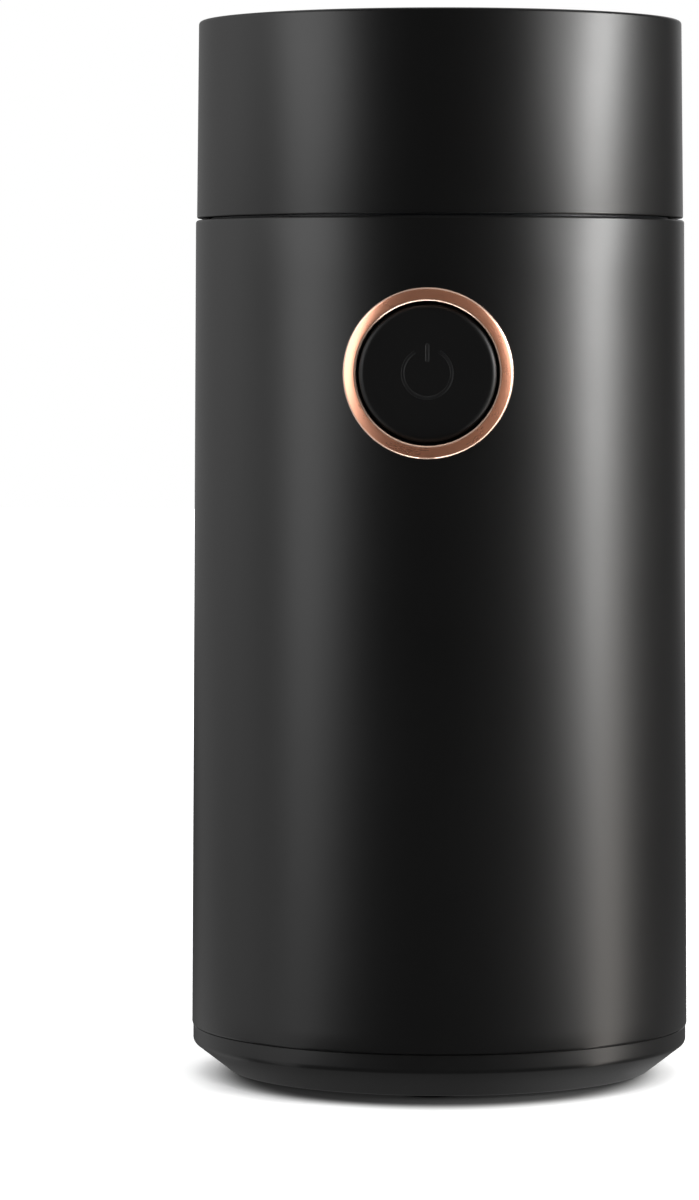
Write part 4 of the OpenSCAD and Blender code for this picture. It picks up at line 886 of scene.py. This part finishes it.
# %% Turning on a level axis
OUTSIDE = 60
body_form = primitive("cone", "body_form", vertices=720, radius1=BODY_R0 * MM,
                      radius2=BODY_R1 * MM, depth=(BODY_TOP - BODY_LOW) * MM,
                      location=(0, 0, (BODY_LOW + BODY_TOP) / 2 * MM))
settle(body_form)
body_form.hide_render = True


def lay_on_body(piece, loop, lift, side):
    """Moves a loop of vertices along y on to the body's outer face, and a lift off it."""
    group = piece.vertex_groups.new(name="laid")
    group.add(loop, 1.0, "REPLACE")
    apply(piece, "SHRINKWRAP", target=body_form, wrap_method="PROJECT", vertex_group="laid",
          use_project_x=False, use_project_y=True, use_project_z=False,
          use_negative_direction=True, use_positive_direction=True)
    piece.vertex_groups.remove(piece.vertex_groups["laid"])
    with editing(piece):
        select_loop(piece, loop)
        bpy.ops.transform.translate(value=(0, side * lift * MM, 0))


def bored(name, height, profile, side=-1, sides=144):
    """A piece turned about a level axis at a height. A point is (radius, depth) in mm, or
    (radius, lift, True) where it lies on the body's outer face."""
    radius = profile[0][0]
    piece = primitive("circle", name, vertices=sides, radius=radius * MM,
                      location=(0, side * OUTSIDE * MM, height * MM),
                      rotation=(math.pi / 2, 0, 0))
    settle(piece)
    loops = [list(range(sides))]
    for point in profile[1:]:
        with editing(piece):
            select_loop(piece, loops[-1])
            bpy.ops.mesh.extrude_region_move()
            share = point[0] / radius
            bpy.ops.transform.resize(value=(share, 1, share),
                                     center_override=(0, 0, height * MM))
            radius = point[0]
        loops.append([v.index for v in piece.data.vertices if v.select])
    for point, loop in zip(profile, loops):
        if len(point) == 3:
            lay_on_body(piece, loop, point[1], side)
            continue
        with editing(piece):
            select_loop(piece, loop)
            bpy.ops.transform.translate(value=(0, side * (point[1] - OUTSIDE) * MM, 0))
    return piece, loops


print("level turning ready")

# %% [markdown]
# ## Rose-gold ring
#
# The ring's face follows the round of the body. It is 2.35 mm wide with its two bevels,
# very slightly domed, and stands up to 0.73 mm off the body. The bevels on its outer and
# inner edges catch the light as bright lines, and a tube behind it goes through the wall.
# The profile runs once round the ring's section. Bevelling the two loops of edges last
# keeps their width even.

# %% Rose-gold ring
RING_R, RING_BORE_R, RING_TUBE_R, RING_BACK = 14.85, 12.5, 13.5, 41.0
RING_PROUD, RING_BEVEL = 0.73, 0.34
ring_profile = [
    (RING_TUBE_R, 0.02, True), (14.2, 0.02, True), (RING_R, 0.02, True),
    (RING_R, 0.42, True), (14.4, 0.54, True), (13.9, 0.63, True), (13.4, 0.7, True),
    (12.95, RING_PROUD, True), (RING_BORE_R, RING_PROUD, True),
    (RING_BORE_R, 43.0), (RING_BORE_R, RING_BACK), (RING_TUBE_R, RING_BACK),
]
OUTER_EDGE, INNER_EDGE = 3, 8
ring, loops = bored("button_ring_face", BUTTON_Z, ring_profile, sides=180)
with editing(ring):
    select_loop(ring, loops[0] + loops[-1])
    bpy.ops.mesh.select_mode(type="EDGE")
    bpy.ops.mesh.bridge_edge_loops()
    edges = [set(loops[OUTER_EDGE]), set(loops[INNER_EDGE])]
    select(ring, "EDGE", lambda e: any(all(v.index in edge for v in e.verts) for edge in edges))
    bpy.ops.mesh.bevel(offset=RING_BEVEL * MM, segments=3, affect="EDGES")
clean(ring)
smooth(ring, 24)
place_piece(ring, "housing", "rose_gold", "button_ring")

# %% [markdown]
# ## Push button
#
# The button is a black disc with a 1 mm rounded edge and a face domed by a tenth of a
# millimetre. Behind the wall it has a flange that stops it, a hollow back and a short stem
# low down that works the switch. The stem is a cylinder united with the turned cap.

# %% Push button
CAP_R, CAP_EDGE, CAP_FACE, CAP_DOME, CAP_BACK = 11.95, 1.0, 44.37, 0.12, 39.5
CAP_BORE, BORE_END, STOP_R, STOP_T = 10.3, 42.17, 13.0, 1.2
STEM_R, STEM_LOW, STEM_HIGH, STEM_Z = 1.5, 38.2, CAP_BACK + 0.1, 117.0
flat = CAP_FACE - CAP_DOME
cap, _ = bored("push_button", BUTTON_Z, [
    (CAP_BORE, BORE_END), (CAP_BORE, CAP_BACK), (STOP_R, CAP_BACK),
    (STOP_R, CAP_BACK + STOP_T), (CAP_R, CAP_BACK + STOP_T),
    *arc((CAP_R - CAP_EDGE, flat - CAP_EDGE), CAP_EDGE, 0, 90, 10),
    (10.4, CAP_FACE - 0.1), (9.4, CAP_FACE - 0.085), (7.6, CAP_FACE - 0.055),
    (5.8, CAP_FACE - 0.03), (4.95, CAP_FACE - 0.022), (2.1, CAP_FACE - 0.004), (1.2, CAP_FACE),
])
clean(cap)
stem = primitive("cylinder", "switch_stem", radius=STEM_R * MM, vertices=32,
                 depth=(STEM_HIGH - STEM_LOW) * MM, rotation=(math.pi / 2, 0, 0),
                 location=(0, -(STEM_HIGH + STEM_LOW) / 2 * MM, STEM_Z * MM))
cut_with(cap, soften_low_end(stem, 0.2, 2), "UNION")
print("button with its stem:", len(cap.data.polygons), "faces")

# %% [markdown]
# ## Sign on the button
#
# A plain on/off sign, a broken circle with a bar, is sunk in the face as a round-bottomed
# groove, and the bar is the shallower of the two. The cutter for the circle is a small
# flattened circle carried round by spin. The bar's cutter is a flattened sphere whose
# halves are moved apart.

# %% Sign
SIGN_DEPTH, BAR_DEPTH, BAR_R = 0.2, 0.09, 0.345
sign_y = -CAP_FACE * MM + 0.02 * MM
start = math.radians(-SIGN_GAP)
hub = (SIGN_R * math.sin(start) * MM, sign_y, (BUTTON_Z + SIGN_R * math.cos(start)) * MM)
arc_cutter = primitive("circle", "sign_arc", vertices=32, radius=STROKE * MM,
                       fill_type="NGON", location=hub, rotation=(0, start - math.pi / 2, 0))
with editing(arc_cutter):
    select_all()
    bpy.ops.transform.resize(value=(1, SIGN_DEPTH / STROKE, 1), center_override=hub)
    bpy.ops.mesh.spin(steps=80, angle=math.radians(360 - 2 * SIGN_GAP), axis=(0, 1, 0),
                      center=(0, sign_y, BUTTON_Z * MM))
clean(arc_cutter)
settle(arc_cutter)
middle = (0, sign_y, (BUTTON_Z + BAR_UP) * MM)
bar = primitive("uv_sphere", "sign_bar", segments=24, ring_count=16, radius=BAR_R * MM,
                location=middle)
with editing(bar):
    select_all()
    bpy.ops.transform.resize(value=(1, BAR_DEPTH / STROKE, 1), center_override=middle)
    for side in (1, -1):
        select(bar, "VERT", lambda v: side * v.co.z > 0.01 * MM)
        bpy.ops.transform.translate(value=(0, 0, side * BAR_HALF * MM))
clean(bar)
settle(bar)
for cutter in (arc_cutter, bar):
    cut_with(cap, cutter)
smooth(cap, 12)
place_piece(cap, "button", "button_black", "button_cap")

# %% [markdown]
# ## Grommet of the cord
#
# At the back, near the base, a rubber grommet lines the hole where a cord would come in. It
# is flush with the wall outside, and inside it has a flange and a short tail. Its mouth is
# rounded.

# %% Grommet
gland, _ = bored("cord_grommet", GLAND_Z, [
    (3.3, 37.1), (4.3, 37.1), (4.58, 37.4), (4.58, 40.48), (6.3, 40.48), (6.6, 40.78),
    (6.6, 42.3), (4.58, 42.3), (4.58, 43.6), (4.58, -0.16, True),
    (4.4, -0.1, True), (3.7, -0.1, True), (3.45, -0.16, True), (3.3, 44.3), (3.3, 43.0),
    (3.3, 37.1),
], side=1, sides=72)
clean(gland)
smooth(gland, 40)
place_piece(gland, "housing", "black_rubber", "cord_gland")
bpy.data.objects.remove(body_form)

# %% [markdown]
# ## Steel bowl
#
# The bowl is spun from one 0.6 mm sheet: a flat floor with a hole for the bush, a wide
# rounded corner and a straight wall, turned out at the rim and down over the gasket. The
# same profile is followed outwards and back inwards, which gives the sheet its thickness.

# %% Steel bowl
BOWL_R, BOWL_T, BOWL_CORNER, RIM_Z, FLOOR_Z, RIM_R = 33.5, 0.6, 14.0, 168.0, 123.0, 36.3
BUSH_HOLE_R, RIM_DROP = 7.02, 1.3
corner = (BOWL_R - BOWL_CORNER, FLOOR_Z + BOWL_CORNER)
bowl = turned("steel_bowl", [
    (BUSH_HOLE_R, FLOOR_Z - BOWL_T), *arc(corner, BOWL_CORNER + BOWL_T, -90, 0, 14),
    (BOWL_R + BOWL_T, RIM_Z - BOWL_T), (RIM_R - BOWL_T, RIM_Z - BOWL_T),
    (RIM_R - BOWL_T, RIM_Z - RIM_DROP), (RIM_R, RIM_Z - RIM_DROP),
    *arc((RIM_R - BOWL_T, RIM_Z - BOWL_T), BOWL_T, 0, 90, 5),
    *arc((BOWL_R + BOWL_T, RIM_Z - BOWL_T), BOWL_T, 90, 180, 5),
    *arc(corner, BOWL_CORNER, 0, -90, 14), (BUSH_HOLE_R, FLOOR_Z),
    (BUSH_HOLE_R, FLOOR_Z - BOWL_T),
])
smooth(bowl)
place_piece(bowl, "housing", "bowl_steel", "grinding_bowl")

# %% [markdown]
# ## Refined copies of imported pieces
#
# The blade, its nut, the frame and the small pieces in view of the open bowl have the
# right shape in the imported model, but their triangles are loose, so they can't shade
# smoothly, and a merged copy can. On the blade and its nut, flat triangles are also
# dissolved into whole faces, and a narrow bevel breaks the sharp edges.

# %% Refined copies
def refined(node, name, bevel=0.0):
    """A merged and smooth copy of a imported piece, whose sharp edges a bevel may break."""
    piece = bpy.data.objects.new(name, nodes[node].data.copy())
    piece.data.name = name
    link(piece)
    alone(piece)
    bpy.ops.mesh.customdata_custom_splitnormals_clear()
    with editing(piece):
        select_all()
        bpy.ops.mesh.remove_doubles(threshold=0.002 * MM)
        if bevel:
            select_all()
            bpy.ops.mesh.dissolve_limited(angle_limit=math.radians(1.5))
    if bevel:
        apply(piece, "BEVEL", width=bevel * MM, segments=2, limit_method="ANGLE",
              angle_limit=math.radians(35), harden_normals=False)
    smooth(piece)
    place_piece(piece, body_of[node], slot_of[node], node)
    return piece


bodies = frame["record"]["behaviour"]["bodies"]
body_of = {node: body for body, members in bodies.items() for node in members}
refined("blade", "cross_blade", bevel=0.07)
refined("blade_nut", "dome_nut", bevel=0.12)
for node, name in {
    "blade_spacer": "spacer_collar", "bowl_bush": "flanged_bush", "bowl_gasket": "rim_gasket",
    "shaft_seal": "shaft_lip_seal", "inner_frame": "bowl_frame",
    "interlock_rod": "safety_rod", "button_housing": "button_cup",
    "base_screws": "base_screw_set",
}.items():
    refined(node, name)
spring = refined("button_spring", "press_spring")
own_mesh(spring)
print("pieces made:", len(pieces_made))

# %% [markdown]
# ## Backdrop
#
# The background is white where the camera, a mirror or a glass looks at it, and a plain
# level of light for everything else, so that the casing isn't washed out. The world's
# strength follows the kind of ray that asks.

# %% Backdrop
CAMERA_RAY, GLOSSY_RAY, THROUGH_RAY = 0, 3, 6
world = bpy.data.worlds.new("studio")
bpy.context.scene.world = world
world.use_nodes = True
sky = Wire(world.node_tree)
seen = sky.node("LightPath", out=CAMERA_RAY)
for kind in (GLOSSY_RAY, THROUGH_RAY):
    seen = seen.maths("MAXIMUM", seen, sky.node("LightPath", out=kind))
glow = world.node_tree.nodes["Background"]
world.node_tree.links.new((seen * 0.55 + 0.45).socket, glow.inputs["Strength"])
glow.inputs["Color"].default_value = (1, 1, 1, 1)
print("backdrop ready")

# %% [markdown]
# ## Floor
#
# The floor glows in the same white, but for a soft oval round the grinder, where the glow fades
# out and the paper's colour is painted dark: a painted shadow, narrower at the sides and
# shifted towards the front, under which the lamps' own shadow shows too. A glow that only the
# camera sees lights nothing.

# %% Floor
# The painted shadow's oval: squeezed at the sides, and its centre shifted towards the camera.
PAINTED_SHADOW_STRETCH, PAINTED_SHADOW_SHIFT = 1.15, 0.0045


def own_material(name, sheet):
    """Gives a sheet of the set its own material, and returns its coordinates."""
    place = begin(name)
    sheet.data.materials.append(finishes.pop(name))
    return place


floor = primitive("plane", "floor", size=6)
place = own_material("floor_paper", floor)
x, y, z = axes(place)
painted_shadow_distance = flat_length(x * PAINTED_SHADOW_STRETCH, y + PAINTED_SHADOW_SHIFT)
# The camera's glow is off inside the painted shadow and grows outwards from it.
clear = step(painted_shadow_distance, 0.041, 0.055) * 0.6 + step(painted_shadow_distance, 0.2, 0.9) * 0.6
finish(place, {
    # The dark oval in the paper's colour is a painted shadow.
    "Base Color": blend(step(painted_shadow_distance, 0.0385, 0.0475), (0.05, 0.05, 0.05, 1), (0.8, 0.8, 0.8, 1)),
    "Roughness": 0.9,
    "Emission Color": (1, 1, 1, 1),
    "Emission Strength": place.node("LightPath", out=CAMERA_RAY) * clear,
})
print("floor ready")

# %% [markdown]
# ## Lamps
#
# Black plastic shows little but the reflections of what stands round it. A wide soft lamp
# on the left gives the broad grey band, and a bright narrow one on the right, with a
# dimmer one beside it, gives the strip of light with one soft and one sharp side. They
# stand high, tip down and lean sideways, so the bands drift and fade towards the base. The
# lamp overhead lights the floor and the lid's top, and reflections don't show it. The last
# one is a strip on the floor with a narrow upward beam, for the edges that face down, such
# as the ring's lower bevels.

# %% Lamps
WARM = (1.0, 0.995, 0.985)


def lamp(name, azimuth, distance, height, width, length, radiance, colour=(1, 1, 1), tip=0,
         lean=0):
    """A flat lamp that faces the grinder's axis, of one radiance all over."""
    data = bpy.data.lights.new(name, "AREA")
    data.shape, data.size, data.size_y = "RECTANGLE", width, length
    data.energy = math.pi * width * length * radiance
    data.color = colour
    turn = math.radians(azimuth)
    lit = bpy.data.objects.new(name, data)
    lit.location = (distance * math.sin(turn), -distance * math.cos(turn), height)
    lit.rotation_euler = (math.pi / 2 - math.radians(tip), 0, turn)
    lit.rotation_euler.rotate_axis("Z", math.radians(lean))
    link(lit)
    return lit


lamp("left_softbox", -60.7, 0.75, 0.32, 0.43, 0.6, 3.3, tip=12, lean=27)
lamp("right_strip", 82, 0.6, 0.24, 0.155, 0.36, 25.0, WARM, tip=10, lean=-34)
lamp("right_fill", 64, 0.6, 0.31, 0.22, 0.36, 3.6, WARM, tip=10, lean=-30)
top = lamp("overhead", 0, 0.0, 1.1, 0.9, 0.9, 1.0)
top.rotation_euler = (0, 0, 0)
top.visible_glossy = False
gridded = lamp("floor_strip", 0, 0.072, 0.001, 0.3, 0.04, 1.7)
gridded.rotation_euler = (math.pi, 0, 0)
gridded.data.spread = math.radians(84)
gridded.visible_camera = gridded.visible_diffuse = gridded.visible_transmission = False

# %% [markdown]
# ## Cards round the set
#
# Black things are lit with dark cloth hung round them, so that only the lamps show in the
# plastic. Here it is a wide ring of card, a mat on the floor and a roof that only
# reflections see: they cast no shadow, light nothing and don't show in the picture. The
# ring is almost black in front and on the right, and grey at the left and behind, which
# lights the two edges of the casing a little.

# %% Cards
ROOM_R, ROOM_H, MAT_Z = 1.6, 2.4, 0.0004


def card(sheet, level, colour=(1, 1, 1, 1)):
    """Makes a sheet glow at a level that only reflections see."""
    tree = sheet.active_material.node_tree
    tree.nodes.remove(tree.nodes["Principled BSDF"])
    glow = level.node("Emission", None, {"Color": colour, "Strength": level})
    tree.links.new(glow.socket, tree.nodes["Material Output"].inputs["Surface"])
    sheet.visible_camera = sheet.visible_diffuse = sheet.visible_shadow = False
    sheet.visible_transmission = False


def round_card(name, height):
    """A round sheet across the whole set at a height in metres."""
    return settle(primitive("circle", name, vertices=96, radius=ROOM_R, fill_type="NGON",
                            location=(0, 0, height)))


surround = settle(primitive("cylinder", "card_ring", vertices=96, radius=ROOM_R, depth=ROOM_H,
                            end_fill_type="NOTHING", location=(0, 0, ROOM_H / 2)))
x, y, z = axes(own_material("card_ring", surround))
azimuth = flat_angle(x, 0 - y)
left = step(0 - azimuth, 78, 96) * (1 - step(0 - azimuth, 100, 135) * 0.6)
behind = step(azimuth, 145, 165)
card(surround, left * 0.95 + behind * 0.85 + 0.04)
print("ring of card ready")

# %% [markdown]
# ## Mat and roof
#
# The mat has paler fans that spread from the casing, like a floor that mirrors the lamps,
# and a dim patch under the base. The roof is paler behind the grinder. Each fan is two soft
# steps of an azimuth.

# %% Mat and roof
mat = round_card("card_mat", MAT_Z)
x, y, z = axes(own_material("card_mat", mat))
reach = flat_length(x, y)
near = 1 - step(reach, 0.05, 0.3)
under = 1 - step(reach, 0.040, 0.046)


def wedge(x0, y0, start, end, soft=8):
    """A fan on the mat that spreads from a point of the casing between two azimuths."""
    turn = flat_angle(x - x0, y0 - y)
    return step(turn, start - soft, start + soft) * (1 - step(turn, end - soft, end + soft))


lamps_left = wedge(-0.026, -0.036, -102, -45)
edge_left = wedge(-0.035, -0.027, -150, -95)
strip_right = wedge(0.031, -0.033, 77, 97, soft=4)
right_under = under * wedge(0, 0, 25, 110, soft=20)
edge_right = wedge(0.035, -0.02, 125, 170, soft=10)
card(mat, near * 0.1 + lamps_left * 0.5 + edge_left * 0.35 + strip_right * 4.6 + 0.015
     + edge_right * 0.1 + under * 0.12 + right_under * 0.18,
     blend(strip_right, (1, 1, 1, 1), (1, 0.93, 0.86, 1)))

roof = round_card("card_roof", ROOM_H)
x, y, z = axes(own_material("card_roof", roof))
card(roof, step(y, 0.05, 0.5) * 1.3 + 0.25)
print("cards ready")

# %% [markdown]
# ## View
#
# The Standard view shows colours without a film's curve, so black plastic stays black.

# %% View settings
bpy.context.scene.view_settings.view_transform = "Standard"
